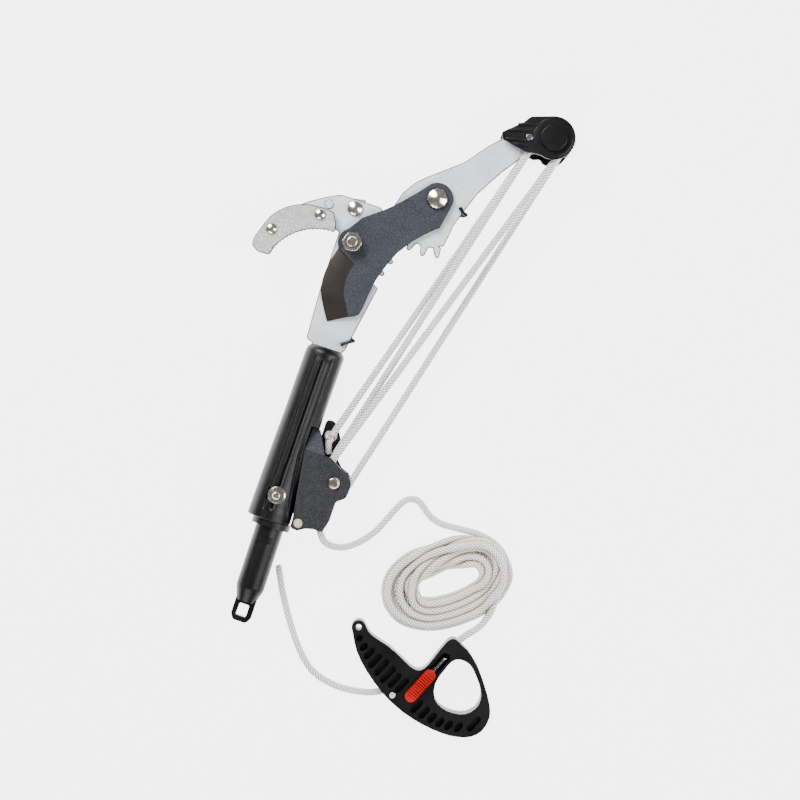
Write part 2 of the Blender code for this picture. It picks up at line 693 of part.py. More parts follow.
def bore_ring(y, radius, centre_x=0.0):
    return [(x + centre_x, y, z + MID_Z) for x, z in circle((0, 0), radius, 32)]


def make_adapter(black, frame):
    """Spigot with a collar against the socket's foot, a taper, and a flat hanging loop."""
    shift = ADAPTER_SHIFT
    stations = (
        (BORE_DEPTH - 2.0, 10.4, 0.0), (BORE_DEPTH - 4.0, BORE - GAP, 0.0), (-GAP, BORE - GAP, 0.0),
        (-GAP, 14.6, shift), (COLLAR_FOOT, 14.6, shift), (COLLAR_FOOT, 10.6, shift), (-52.0, 10.6, shift),
        (-54.5, 10.2, shift), (-64.0, 7.2, shift),
    )
    sections = [bore_ring(y, radius, middle) for y, radius, middle in stations]
    adapter = piece("pole_adapter", loft(sections), black, frame)
    loop = rounded(
        [(-4.5, -60.0), (-4.6, -75.0, 3), (-2.0, -79.6, 3), (8.4, -79.6, 3), (11.0, -75.0, 3), (11.0, -60.0)]
    )
    eye = rounded([(-0.6, -66.0, 1), (-1.0, -75.4, 1), (6.9, -75.4, 1), (6.9, -66.0, 1)])
    join(adapter, slab(loop, MID_Z - 3.0, MID_Z + 3.0, [eye]))
    cut(adapter, slab([(-14, 9.5), (16, 9.5), (16, 56), (-14, 56)], TAB_LOW - GAP, TAB_TOP + GAP))
    cut(adapter, slab(circle(SOCKET_BOLT, CROSS_BOLT + GAP, 20), -2, 40))
    recess = [(-3.4, -18.0), (-3.6, -12.4), (8.6, -12.4), (8.8, -17.4)]
    cut(adapter, slab(recess, MID_Z + 9.2, 40))


def make_socket_bolt(steel, frame):
    """Carriage bolt through the socket, with a flange nut in front."""
    top = 2 * MID_Z + 0.4
    profile = [(0, 0.1), (5.4, 0.1), (7.0, 1.0), (7.0, 2.1), (CROSS_BOLT, 2.1)]
    profile += [(CROSS_BOLT, top + 7.6), (CROSS_BOLT - 0.8, top + 8.4), (0, top + 8.4)]
    piece("socket_bolt", turned(SOCKET_BOLT, profile, 20), steel, frame)
    hole = CROSS_BOLT + GAP
    flange = [(hole, top), (6.6, top), (6.6, top + 0.9), (5.6, top + 1.6), (hole, top + 1.6)]
    nut = piece("flange_nut", turned(SOCKET_BOLT, flange, 24), steel, frame)
    join(nut, slab(hexagon(SOCKET_BOLT, 10.0, 5), top + 1.0, top + 6.2, [circle(SOCKET_BOLT, hole, 24)]))


# Sheave bracket -----------------------------------------------------------------------------------
TAB_LOW = 15.2
TAB_TOP = 17.8
BRACKET_RIVET = (22.4, 4.6)
BRACKET_SHEET = 2.5
CHEEK_REAR = 6.0
CHEEK_FRONT = 25.2
CHEEK_EDGE = ((9.7, 58.4), (17.9, 3.5))  # upper and lower end of the front cheek's edge on the socket
FACET_END = (75.4, 17.8)  # where the sloped facet above the front cheek ends: y, and height of its underside
KNOT = (24.8, 71.4)


def facet(room, thickness):
    """Sloped quadrilateral from the front cheek's top edge down to its end, grown by room."""
    left, top = CHEEK_EDGE[0]
    far, drop = FACET_END
    corners = (
        (left - room, top - 0.2), (25.8 + room, top - 0.2),
        (16.4 + room, far + room), (left + 0.6 - room, far + room),
    )
    slope = (CHEEK_FRONT - drop) / (far - top)
    rings = []
    for lift in (-room, thickness):
        rings.append([(x, y, CHEEK_FRONT - slope * (y - top) + lift) for x, y in corners])
    return rings


def make_bracket(look, brass, steel, frame):
    """Folded steel: two cheeks, a web along the socket, a tab to its bolt, and the rope's ear."""
    shoulder = [(40.5, 52.8, 4), (46.6, 51.0, 5)]
    skirt = [
        (51.2, 44.0, 6), (50.6, 33.2, 5), (44.0, 28.2, 4), (43.8, 12.0, 6), (41.4, 3.4, 2.5), (34.5, 3.8, 3),
        (28.5, 2.2, 3), (23.5, -1.0, 3), (17.9, -0.6, 2), (17.9, 3.5),
    ]
    ear = [(17.9, 84.0, 3), (24.5, 85.6, 6), (33.0, 73.0, 6), (33.4, 60.0)]
    rear = rounded(ear + shoulder + skirt)
    left, top = CHEEK_EDGE[0]
    front = rounded([(left, top), (25.8, top), (30.5, 58.4, 3)] + shoulder + skirt)
    holes = [circle(BRACKET_AXLE, 3.0 + GAP, 20), circle(BRACKET_RIVET, 2.0 + GAP, 12)]
    low = slab(rear, CHEEK_REAR, CHEEK_REAR + BRACKET_SHEET, holes + [circle(KNOT, 3.4, 16)])
    bracket = piece("sheave_bracket", low, look, frame)
    join(bracket, slab(front, CHEEK_FRONT, CHEEK_FRONT + BRACKET_SHEET, holes))
    web = [(17.5, 0.5), (20.0, 0.5), (20.0, 56.0), (17.5, 56.0)]
    join(bracket, slab(web, CHEEK_REAR + 1.0, CHEEK_FRONT + 1.0))
    join(bracket, loft(facet(0.0, BRACKET_SHEET)))
    tab = rounded([(18.5, 10.0), (18.5, 44.0), (-4.0, 44.0, 5), (-8.0, 19.0, 5), (-4.0, 10.0, 5)])
    join(bracket, slab(tab, TAB_LOW, TAB_TOP, [circle(SOCKET_BOLT, CROSS_BOLT + GAP, 20)]))
    foot = CHEEK_REAR - GAP - 2.2
    axle = [(0, foot), (4.6, foot), (4.6, CHEEK_REAR - GAP), (3.0, CHEEK_REAR - GAP)]
    crown = CHEEK_FRONT + BRACKET_SHEET + GAP
    axle += [(3.0, crown), (4.8, crown), (4.6, crown + 1.0), (3.4, crown + 2.2), (0, crown + 2.9)]
    piece("bracket_axle", turned(BRACKET_AXLE, axle, 20), steel, frame)
    spacer_low = BRACKET_REAR_Z + SHEAVE_WIDTH / 2 + GAP
    spacer_top = BRACKET_FRONT_Z - SHEAVE_WIDTH / 2 - GAP
    spacer = [(3.0 + GAP, spacer_low), (6.0, spacer_low), (6.0, spacer_top), (3.0 + GAP, spacer_top)]
    piece("sheave_spacer", turned(BRACKET_AXLE, spacer, 20), steel, frame)
    inside = CHEEK_REAR + BRACKET_SHEET + GAP
    rivet = [(0, foot + 1.0), (3.4, foot + 1.0), (3.4, CHEEK_REAR - GAP), (2.0, CHEEK_REAR - GAP)]
    rivet += [(2.0, inside), (2.3, inside), (2.3, CHEEK_FRONT - GAP), (2.0, CHEEK_FRONT - GAP)]
    rivet += [(2.0, crown), (3.6, crown), (3.3, crown + 0.8), (0, crown + 1.0)]
    piece("bracket_rivet", turned(BRACKET_RIVET, rivet, 16), brass, frame)


# Rope ---------------------------------------------------------------------------------------------
def tangent(centre, other, side):
    """Where the line between two equal circles leaves centre's; side is +1 left, -1 right of it."""
    return polar(centre, ROPE_ON_SHEAVE, bearing(centre, other) + 90 * side)


def crossing(centre, other, side):
    """The same for the line that crosses between the two circles."""
    lean = math.degrees(math.acos(2 * ROPE_ON_SHEAVE / math.dist(centre, other)))
    return polar(centre, ROPE_ON_SHEAVE, bearing(centre, other) + lean * side)


def fall(start, end, low, high):
    """Straight rope between two points, cut short at both ends by the gap."""
    a = Vector((*start, low))
    b = Vector((*end, high))
    along = (b - a).normalized() * 2 * GAP
    return tube([tuple(a + along), tuple(b - along)], ROPE)


def wrap(centre, start, end, z, steps=12):
    return tube([(x, y, z) for x, y in arc(centre, ROPE_ON_SHEAVE, start, end, steps)], ROPE)


HAUL_LEAVES = 198.2  # where the hauling rope leaves the bracket's front sheave, in degrees
LEAD = (
    (33.8, 20.8, BRACKET_FRONT_Z), (39.2, 4.4, BRACKET_FRONT_Z - 0.2), (44.6, -2.6, 19.4), (52.1, -4.6, 15.2),
    (60.0, -3.2, 10.4), (67.1, 1.2, 6.4), (73.9, 7.8, 4.0), (79.8, 16.2, 2.9), (84.2, 25.8, 2.8),
    (87.7, 34.2, 2.8), (91.1, 41.4, 2.8), (94.1, 45.3, 2.8), (98.4, 47.5, 2.8), (103.0, 47.4, 2.8),
    (107.2, 44.9, 2.8),
    (111.8, 41.2, 2.8), (117.4, 38.0, 2.8), (124.5, 36.2, 2.8), (131.5, 36.2, 2.8), (138.6, 37.0, 2.8),
    (146.0, 37.8, 2.8), (152.0, 38.6, 2.8),
)
TO_HANDLE = (
    (181.0, -20.5, 2.8), (179.2, -25.4, 2.8), (175.2, -30.8, 3.4), (170.4, -36.0, 5.4), (165.4, -40.9, 8.0),
)
TAIL = (
    (119.5, -98.6, 5.2), (109.3, -102.7, 3.4), (93.0, -105.0, 2.8), (76.3, -103.2, 2.8), (63.5, -97.6, 2.8),
    (50.6, -85.2, 2.8), (38.2, -68.4, 2.8), (27.6, -51.4, 2.8), (20.2, -37.5, 2.8), (17.6, -31.4, 2.8),
)
COIL_CENTRE = (142.3, -4.7)
COIL_LEAN = 34.0  # degrees from +X
COIL_HALF = (51.5, 34.4)
COIL_EYE = (27.5, 6.5)
COIL_HEIGHT = 16.5


def oval(centre, half_length, half_width, lean, steps):
    """Ellipse outline whose long axis leans by that many degrees from +X."""
    points = []
    for i in range(steps):
        angle = math.tau * i / steps
        x, y = polar(centre, half_length * math.cos(angle), lean)
        points.append(polar((x, y), half_width * math.sin(angle), lean + 90))
    return points


def make_rope(look, frame, falls, becket, wraps):
    """The four falls and their turns on the sheaves, then the free rope to the handle."""
    foot = Vector((*KNOT, 12.2))
    target = TIP_AXLE
    lean = math.degrees(math.asin(ROPE_ON_SHEAVE / math.dist(KNOT, target)))
    direction = bearing(KNOT, target) + lean
    reach = math.sqrt(math.dist(KNOT, target) ** 2 - ROPE_ON_SHEAVE ** 2)
    touch = polar(KNOT, reach, direction)
    start = polar(KNOT, 6.2, direction)
    piece("becket_fall", fall(start, touch, foot.z, TIP_REAR_Z), look, becket)
    right_tip = tangent(TIP_AXLE, BRACKET_AXLE, 1)
    left_tip = tangent(TIP_AXLE, BRACKET_AXLE, -1)
    right_foot = tangent(BRACKET_AXLE, TIP_AXLE, -1)
    left_foot = tangent(BRACKET_AXLE, TIP_AXLE, 1)
    haul_tip = crossing(TIP_AXLE, BRACKET_AXLE, 1)
    haul_foot = crossing(BRACKET_AXLE, TIP_AXLE, 1)
    piece("rear_fall", fall(right_foot, right_tip, BRACKET_REAR_Z, TIP_REAR_Z), look, falls)
    piece("cross_fall", fall(left_foot, left_tip, BRACKET_REAR_Z, TIP_FRONT_Z), look, falls)
    piece("hauling_fall", fall(haul_foot, haul_tip, BRACKET_FRONT_Z, TIP_FRONT_Z), look, falls)
    up = bearing(BRACKET_AXLE, TIP_AXLE)
    piece("tip_turn_rear", wrap(TIP_AXLE, up - 90, direction + 90, TIP_REAR_Z), look, wraps)
    haul_side = bearing(TIP_AXLE, haul_tip)
    piece("tip_turn_front", wrap(TIP_AXLE, haul_side, up + 90, TIP_FRONT_Z), look, wraps)
    piece("bracket_turn", wrap(BRACKET_AXLE, up - 90, up - 270, BRACKET_REAR_Z), look, falls)
    side = bearing(BRACKET_AXLE, haul_foot)
    turn = [(x, y, BRACKET_FRONT_Z) for x, y in arc(BRACKET_AXLE, ROPE_ON_SHEAVE, side, HAUL_LEAVES, 4)]
    piece("hauling_turn", tube(turn + [LEAD[0]], ROPE), look, frame)
    piece("rope_lead", tube(smooth(LEAD, 2)[1:], ROPE), look, frame)
    knot = [(0, 9.1), (4.0, 9.1), (5.4, 11.0), (5.8, 13.0), (5.2, 15.4), (3.4, 17.4), (0, 18.0)]
    piece("rope_knot", turned(KNOT, knot, 16), look, frame)
    eye = oval(COIL_CENTRE, *COIL_EYE, COIL_LEAN, 24)
    ring_outline = oval(COIL_CENTRE, *COIL_HALF, COIL_LEAN, 32)
    piece("rope_coil", slab(ring_outline, 0.0, COIL_HEIGHT, [eye]), look, frame)
    piece("rope_to_handle", tube(smooth(TO_HANDLE, 2), ROPE), look, frame)
    piece("rope_tail", tube(smooth(TAIL, 2), ROPE), look, frame)


# Pull handle --------------------------------------------------------------------------------------
HANDLE_PIN = (129.7, -96.5)
SLIDER = (147.3, -83.0)
SLIDER_LEAN = 66.0  # direction of the slider's channel, in degrees
SLIDER_ENDS = (polar(SLIDER, 10.5, SLIDER_LEAN), polar(SLIDER, -10.5, SLIDER_LEAN))
STEM_RADIUS = 3.0
STEM_REACH = 8.5  # from the slider's middle to the centres of its stem's round ends
SLOT_RADIUS = 3.6
SLOT_START = polar(SLIDER, 28.0, SLIDER_LEAN)
SLOT_END = polar(SLIDER, -(STEM_REACH + STEM_RADIUS + GAP - SLOT_RADIUS), SLIDER_LEAN)
HANG_HOLE = (89.8, -56.0)


def handle_outline():
    crest = smooth(
        [(94.6, -53.2), (98.3, -57.0), (104.5, -59.6), (116.0, -62.7), (127.3, -67.6), (135.1, -71.5),
         (140.6, -72.8), (144.2, -71.8), (147.6, -67.4), (151.8, -56.5), (156.0, -45.6), (159.8, -42.0),
         (163.8, -42.0)], 2
    )
    far = smooth(
        [(173.0, -46.9), (184.0, -56.3), (196.9, -73.1), (203.0, -84.1), (204.2, -92.0), (201.9, -101.0),
         (195.6, -107.6), (185.9, -111.0), (174.1, -112.0), (157.5, -110.3), (139.8, -105.6), (122.7, -97.6),
         (105.7, -85.4), (93.7, -73.3), (86.9, -61.5)], 2
    )
    return crest[:-1] + far + arc(HANG_HOLE, 5.4, 205, 35, 7)


FINGER_HOLE = (
    (169.9, -55.2), (177.6, -56.4), (184.4, -62.6), (191.2, -71.6), (193.6, -79.0), (192.2, -86.3),
    (186.3, -92.6), (177.5, -94.9), (168.1, -93.9), (160.7, -89.0), (157.7, -78.2), (160.6, -67.2),
    (164.6, -58.2),
)


# Middle and length of each recess between the ribs, from the hanging hole to the far end.
RIB_POCKETS = (
    (92.9, -63.8, 6.2), (98.0, -68.8, 7.6), (103.5, -72.2, 11.0), (109.3, -76.1, 14.2),
    (115.4, -79.3, 16.0), (121.6, -82.8, 16.4), (127.8, -85.3, 14.4), (134.2, -87.2, 14.4),
    (149.6, -98.6, 13.0), (156.4, -101.4, 11.8), (163.2, -103.4, 9.8), (169.9, -104.6, 9.0),
    (176.8, -104.8, 8.8), (184.2, -103.6, 9.2), (194.4, -97.8, 14.4),
)
RIB_WIDTH = 5.0
RIB_DEPTH = 5.0


def rib_pocket(x, y, length):
    """Slot across the grip, parallel to the slider's channel."""
    reach = (length - RIB_WIDTH) / 2
    ends = [polar((x, y), side * reach, SLIDER_LEAN) for side in (-1, 1)]
    return stadium(*ends, RIB_WIDTH / 2, 3)


def make_handle(black, frame):
    """Flat moulded grip with a finger hole, rib pockets, and a rope lock in a channel."""
    finger = smooth(FINGER_HOLE, 2, closed=True)
    hang = circle(HANG_HOLE, 2.3, 12)
    top = HANDLE_HEIGHT
    pockets = [(rib_pocket(x, y, length), top - RIB_DEPTH) for x, y, length in RIB_POCKETS]
    floor = 4.6
    pockets.append((stadium(SLOT_START, SLOT_END, SLOT_RADIUS, 5), floor))
    body_mesh = slab(handle_outline(), 0.0, top, [finger, hang, circle(HANDLE_PIN, 2.2 + GAP, 12)], pockets)
    handle = piece("pull_handle", body_mesh, black, frame)
    entry = [(166.0, -38.0, 8.6), (157.0, -62.0, 9.0)]
    cut(handle, tube(entry, ROPE + 2.0, 12))
    way_out = [(121.6, -96.9, 6.6), (142.0, -89.5, 9.0)]
    cut(handle, tube(way_out, ROPE + 1.2, 12))
    return handle


def make_handle_fittings(red, steel, frame, slider):
    """Pin, ridged slider on its wedge, and the spring that pushes it down its channel."""
    pin = [(0, 0.4), (2.2, 0.4), (2.2, HANDLE_HEIGHT + 0.6), (0, HANDLE_HEIGHT + 0.9)]
    piece("handle_pin", turned(HANDLE_PIN, pin, 16), steel, frame)
    start, end = SLIDER_ENDS
    cap_outline = stadium(start, end, 4.6, 6)
    top = HANDLE_HEIGHT
    knob = piece("lock_slider", slab(cap_outline, top + GAP, top + 2.2), red, slider)
    along = Vector((end[0] - start[0], end[1] - start[1])).normalized()
    across = Vector((-along.y, along.x))
    ridges = 11
    for k in range(ridges):
        middle = Vector(start) + along * (math.dist(start, end) * (k + 0.5) / ridges)
        half = across * 4.2
        half_pitch = along * 0.62
        corners = (half + half_pitch, half_pitch - half, -half - half_pitch, half - half_pitch)
        join(knob, slab([tuple(middle + c) for c in corners], top + 1.2, top + 3.6))
    stem_ends = [polar(SLIDER, reach, SLIDER_LEAN) for reach in (STEM_REACH, -STEM_REACH)]
    stem = stadium(*stem_ends, STEM_RADIUS, 4)
    join(knob, slab(stem, 10.4, top + 1.0))
    spring = []
    first = Vector((*SLOT_START, 13.4)) + Vector((*along, 0)) * 0.6
    last = Vector((*polar(SLIDER, STEM_REACH + STEM_RADIUS + 1.0, SLIDER_LEAN), 13.4))
    side = Vector((*across, 0))
    turns = 11
    steps = turns * 7
    for i in range(steps + 1):
        angle = math.tau * turns * i / steps
        at = first.lerp(last, i / steps)
        spring.append(tuple(at + side * 1.9 * math.cos(angle) + Vector((0, 0, 1.9)) * math.sin(angle)))
    piece("slider_spring", tube(spring, 0.8, 5), steel, frame)


def build():
    clear_scene()
    silver = material("silver_paint", (0.66, 0.68, 0.71), 0.35, 0.38)
    grey = material("grey_paint", (0.40, 0.41, 0.41), 0.45, 0.45)
    slate = material("slate_coating", (0.075, 0.08, 0.10), 0.3, 0.42)
    steel = material("bright_steel", (0.72, 0.70, 0.66), 1.0, 0.22)
    brass = material("brass", (0.72, 0.62, 0.42), 1.0, 0.3)
    black = material("black_plastic", (0.012, 0.012, 0.013), 0.0, 0.45)
    charcoal = material("charcoal_powder_coat", (0.035, 0.037, 0.043), 0.1, 0.6)
    wire = material("black_wire", (0.015, 0.015, 0.016), 0.6, 0.35)
    rope = material("white_rope", (0.86, 0.86, 0.84), 0.0, 0.85)
    red = material("red_plastic", (0.75, 0.035, 0.008), 0.0, 0.4)
    frame = body("frame", 0.0, 0.0)
    arm = body("blade_arm_axis", *BLADE_PIVOT, frame)
    lever = body("lever_axis", *LEVER_PIVOT, arm)
    spring = body("spring_leg_axis", *BLADE_PIVOT, frame)
    falls = body("falls_axis", *BRACKET_AXLE, frame)
    becket = body("becket_axis", *KNOT, frame)
    wraps = body("tip_turns_axis", *TIP_AXLE, lever)
    slider = body("slider_axis", *SLIDER_ENDS[0], frame)
    owners = {
        "tip_sheave_rear": body("tip_sheave_rear_axis", *TIP_AXLE, lever),
        "tip_sheave_front": body("tip_sheave_front_axis", *TIP_AXLE, lever),
        "bracket_sheave_rear": body("bracket_sheave_rear_axis", *BRACKET_AXLE, frame),
        "bracket_sheave_front": body("bracket_sheave_front_axis", *BRACKET_AXLE, frame),
    }
    make_frame_plate(silver, frame)
    make_jaw(grey, steel, frame)
    make_frame_fasteners(steel, grey, frame)
    make_pivot(steel, frame)
    make_return_spring(wire, frame, spring)
    make_blade_arm(slate, arm)
    make_lever_rivet(steel, arm)
    make_lever_plate(silver, lever)
    make_sheaves(black, owners)
    make_housing(black, steel, lever)
    make_socket(black, frame)
    make_adapter(black, frame)
    make_socket_bolt(steel, frame)
    make_bracket(charcoal, brass, steel, frame)
    make_rope(rope, frame, falls, becket, wraps)
    make_handle(black, frame)
    make_handle_fittings(red, steel, frame, slider)


build()
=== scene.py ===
"""Looks of a rope-pulled tree pruner head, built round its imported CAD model. Lengths are in metres."""

import json
import math

import bmesh
import bpy
import numpy as np
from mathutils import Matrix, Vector

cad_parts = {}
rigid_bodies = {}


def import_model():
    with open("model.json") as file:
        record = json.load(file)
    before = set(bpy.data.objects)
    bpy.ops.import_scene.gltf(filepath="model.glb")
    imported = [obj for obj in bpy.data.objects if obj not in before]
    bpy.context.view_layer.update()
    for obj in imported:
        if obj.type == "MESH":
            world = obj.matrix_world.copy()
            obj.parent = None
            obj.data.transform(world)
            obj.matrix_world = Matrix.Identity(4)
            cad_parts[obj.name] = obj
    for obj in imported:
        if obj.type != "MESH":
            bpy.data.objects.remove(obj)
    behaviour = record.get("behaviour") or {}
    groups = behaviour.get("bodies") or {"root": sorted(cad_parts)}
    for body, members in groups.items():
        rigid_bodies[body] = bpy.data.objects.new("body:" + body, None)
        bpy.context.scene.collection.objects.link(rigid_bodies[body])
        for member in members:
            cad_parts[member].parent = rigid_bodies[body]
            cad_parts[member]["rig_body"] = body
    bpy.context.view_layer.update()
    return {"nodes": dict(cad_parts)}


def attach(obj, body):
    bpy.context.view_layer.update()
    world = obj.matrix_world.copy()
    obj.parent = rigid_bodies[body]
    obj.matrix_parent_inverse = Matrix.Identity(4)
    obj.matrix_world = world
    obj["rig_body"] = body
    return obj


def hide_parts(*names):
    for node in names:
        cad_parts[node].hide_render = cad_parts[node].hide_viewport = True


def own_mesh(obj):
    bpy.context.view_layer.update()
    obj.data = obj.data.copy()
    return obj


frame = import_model()
NODES = frame["nodes"]
MM = 0.001

# Driving dimensions, the same as the CAD model's.
CENTRE = (64.1, 120.5)  # middle of the footprint in tool millimetres, where the frame's origin stands
ROPE = 5.4 * MM
ROPE_ON_SHEAVE = 10.5 * MM
BLADE_PIVOT = (-5.0, 216.0)
LEVER_PIVOT = (45.0, 267.0)
TIP_AXLE = (113.3, 336.8)
BRACKET_AXLE = (38.1, 41.4)
KNOT = (24.8, 71.4)
TIP_REAR_Z = 11.35
TIP_FRONT_Z = 21.65
BRACKET_REAR_Z = 12.1
BRACKET_FRONT_Z = 20.9


def at(x, y, z=0.0):
    """A point given in tool millimetres, in the model's frame in metres."""
    return Vector(((x - CENTRE[0]) * MM, (y - CENTRE[1]) * MM, z * MM))


# ---------------------------------------------------------------- camera, light and floor

def make_camera():
    """Straight down on the tool, turned so that the pole leans to the right of upright."""
    data = bpy.data.cameras.new("camera")
    data.lens = 90.0
    data.sensor_width = 36.0
    camera = bpy.data.objects.new("camera", data)
    camera.location = (0.0016, -0.0050, 1.5165)
    camera.rotation_euler = (0.0, 0.0, math.radians(18.3))
    bpy.context.scene.collection.objects.link(camera)
    bpy.context.scene.camera = camera


def soft_box(name, place, target, width, height, power):
    """Rectangular area light that faces a point."""
    data = bpy.data.lights.new(name, "AREA")
    data.shape = "RECTANGLE"
    data.size = width
    data.size_y = height
    data.energy = power
    light = bpy.data.objects.new(name, data)
    light.location = place
    light.rotation_euler = (Vector(target) - Vector(place)).to_track_quat("-Z", "Y").to_euler()
    bpy.context.scene.collection.objects.link(light)


def make_studio():
    """Pale floor, a big soft light from the upper left, a weaker one from the right, and a pale sky."""
    soft_box("key_light", (-1.05, 0.85, 1.25), (0, 0, 0), 0.9, 0.9, 66.0)
    soft_box("fill_light", (1.25, 0.15, 1.15), (0, 0, 0), 0.8, 1.2, 36.0)
    soft_box("low_light", (-0.1, -1.35, 1.0), (0, 0, 0), 1.2, 0.6, 22.0)
    world = bpy.data.worlds.new("studio")
    world.use_nodes = True
    background = world.node_tree.nodes["Background"]
    background.inputs["Color"].default_value = (0.95, 0.97, 1.0, 1.0)
    background.inputs["Strength"].default_value = 0.22
    bpy.context.scene.world = world
    bpy.ops.mesh.primitive_plane_add(size=8.0, location=(0, 0, 0))
    floor = bpy.context.object
    floor.name = "floor"
    paper, tree, shader = new_material("pale_paper")
    shader.inputs["Base Color"].default_value = (0.3, 0.3, 0.3, 1.0)
    shader.inputs["Roughness"].default_value = 0.9
    shader.inputs["Emission Color"].default_value = (1.0, 1.0, 1.0, 1.0)
    shader.inputs["Emission Strength"].default_value = 4.5
    floor.data.materials.append(paper)


# ---------------------------------------------------------------- materials

def new_material(name):
    made = bpy.data.materials.new(name)
    made.use_nodes = True
    return made, made.node_tree, made.node_tree.nodes["Principled BSDF"]


def node(tree, kind, **inputs):
    """A shader node with its inputs set by name; a value that is a socket is linked."""
    made = tree.nodes.new(kind)
    for name, value in inputs.items():
        socket = made.inputs[name.replace("_", " ")]
        if isinstance(value, bpy.types.NodeSocket):
            tree.links.new(value, socket)
        else:
            socket.default_value = value
    return made


def place(tree, stretch=(1.0, 1.0, 1.0)):
    """Object coordinates, stretched along each axis."""
    coordinates = node(tree, "ShaderNodeTexCoord")
    mapping = node(tree, "ShaderNodeMapping", Vector=coordinates.outputs["Object"], Scale=stretch)
    return mapping.outputs["Vector"]


def noise(tree, scale, detail=2.0, stretch=(1.0, 1.0, 1.0)):
    """Noise from 0 to 1; scale is in cells per metre."""
    made = node(tree, "ShaderNodeTexNoise", Vector=place(tree, stretch), Scale=scale, Detail=detail)
    return made.outputs["Fac"]


def tones(tree, value, *stops):
    """Colour ramp through (position, colour) stops."""
    made = node(tree, "ShaderNodeValToRGB", Fac=value)
    ramp = made.color_ramp
    while len(ramp.elements) < len(stops):
        ramp.elements.new(0.5)
    for element, (position, colour) in zip(ramp.elements, stops):
        element.position = position
        element.color = (*colour, 1.0)
    return made.outputs["Color"]


def level(tree, value, low, high, out_low, out_high):
    """Value mapped from one range to another."""
    made = node(tree, "ShaderNodeMapRange", Value=value)
    for name, number in (("From Min", low), ("From Max", high), ("To Min", out_low), ("To Max", out_high)):
        made.inputs[name].default_value = number
    return made.outputs["Result"]


def mixed(tree, share, first, second):
    """Colour that goes from the first to the second as share goes from 0 to 1."""
    made = tree.nodes.new("ShaderNodeMix")
    made.data_type = "RGBA"
    colours = [socket for socket in made.inputs if socket.type == "RGBA"]
    for value, socket in ((share, made.inputs["Factor"]), (first, colours[0]), (second, colours[1])):
        tree.links.new(value, socket)
    return [socket for socket in made.outputs if socket.type == "RGBA"][0]


def bump(tree, shader, height, distance, strength=1.0):
    """Surface relief from a height; distance is in metres."""
    made = node(tree, "ShaderNodeBump", Height=height, Strength=strength, Distance=distance)
    tree.links.new(made.outputs["Normal"], shader.inputs["Normal"])


def paint(name, dark, light, metallic, roughness, grain, depth, shine=0.5):
    """Metallic or powder coat: speckle between two tones, broad uneven gloss and a fine grain."""
    made, tree, shader = new_material(name)
    speckle = noise(tree, grain, 1.0)
    tree.links.new(tones(tree, speckle, (0.36, dark), (0.64, light)), shader.inputs["Base Color"])
    cloud = noise(tree, 55.0, 3.0)
    gloss = level(tree, cloud, 0.3, 0.7, roughness - 0.05, roughness + 0.07)
    tree.links.new(gloss, shader.inputs["Roughness"])
    shader.inputs["Metallic"].default_value = metallic
    shader.inputs["Specular IOR Level"].default_value = shine
    bump(tree, shader, speckle, depth)
    return made


def plastic(name, colour, roughness, grain, depth):
    """Moulded plastic: spark-eroded grain, slightly uneven gloss and a faint bloom in patches."""
    made, tree, shader = new_material(name)
    fine = noise(tree, grain, 3.0)
    cloud = noise(tree, 40.0, 4.0)
    lighter = tuple(c * 1.55 + 0.001 for c in colour)
    tree.links.new(tones(tree, cloud, (0.35, colour), (0.75, lighter)), shader.inputs["Base Color"])
    gloss = level(tree, cloud, 0.3, 0.7, roughness - 0.05, roughness + 0.06)
    tree.links.new(gloss, shader.inputs["Roughness"])
    shader.inputs["Specular IOR Level"].default_value = 0.25
    bump(tree, shader, fine, depth)
    return made


def polished(name, colour, roughness, warm, painted_flank_reflection):
    """Plated steel: small pits, a slightly uneven warm tone, and a painted dark reflection on its steep
    flanks.
    """
    made, tree, shader = new_material(name)
    cloud = noise(tree, 320.0, 3.0)
    slope = node(tree, "ShaderNodeSeparateXYZ", Vector=node(tree, "ShaderNodeNewGeometry").outputs["Normal"])
    # Painted reflection: faces that turn away from upward, by their world normal, take the darker flank
    # tones.
    face_up_share = level(tree, slope.outputs["Z"], 0.25, 0.8, 0.0, 1.0)
    flank = tones(tree, cloud, (0.3, painted_flank_reflection), (0.8, tuple(c * 1.6 for c in painted_flank_reflection)))
    face = tones(tree, cloud, (0.3, colour), (0.8, warm))
    tree.links.new(mixed(tree, face_up_share, flank, face), shader.inputs["Base Color"])
    gloss = level(tree, cloud, 0.3, 0.7, roughness - 0.04, roughness + 0.08)
    tree.links.new(gloss, shader.inputs["Roughness"])
    shader.inputs["Metallic"].default_value = 1.0
    bump(tree, shader, noise(tree, 1500.0, 2.0), 0.000005)
    return made


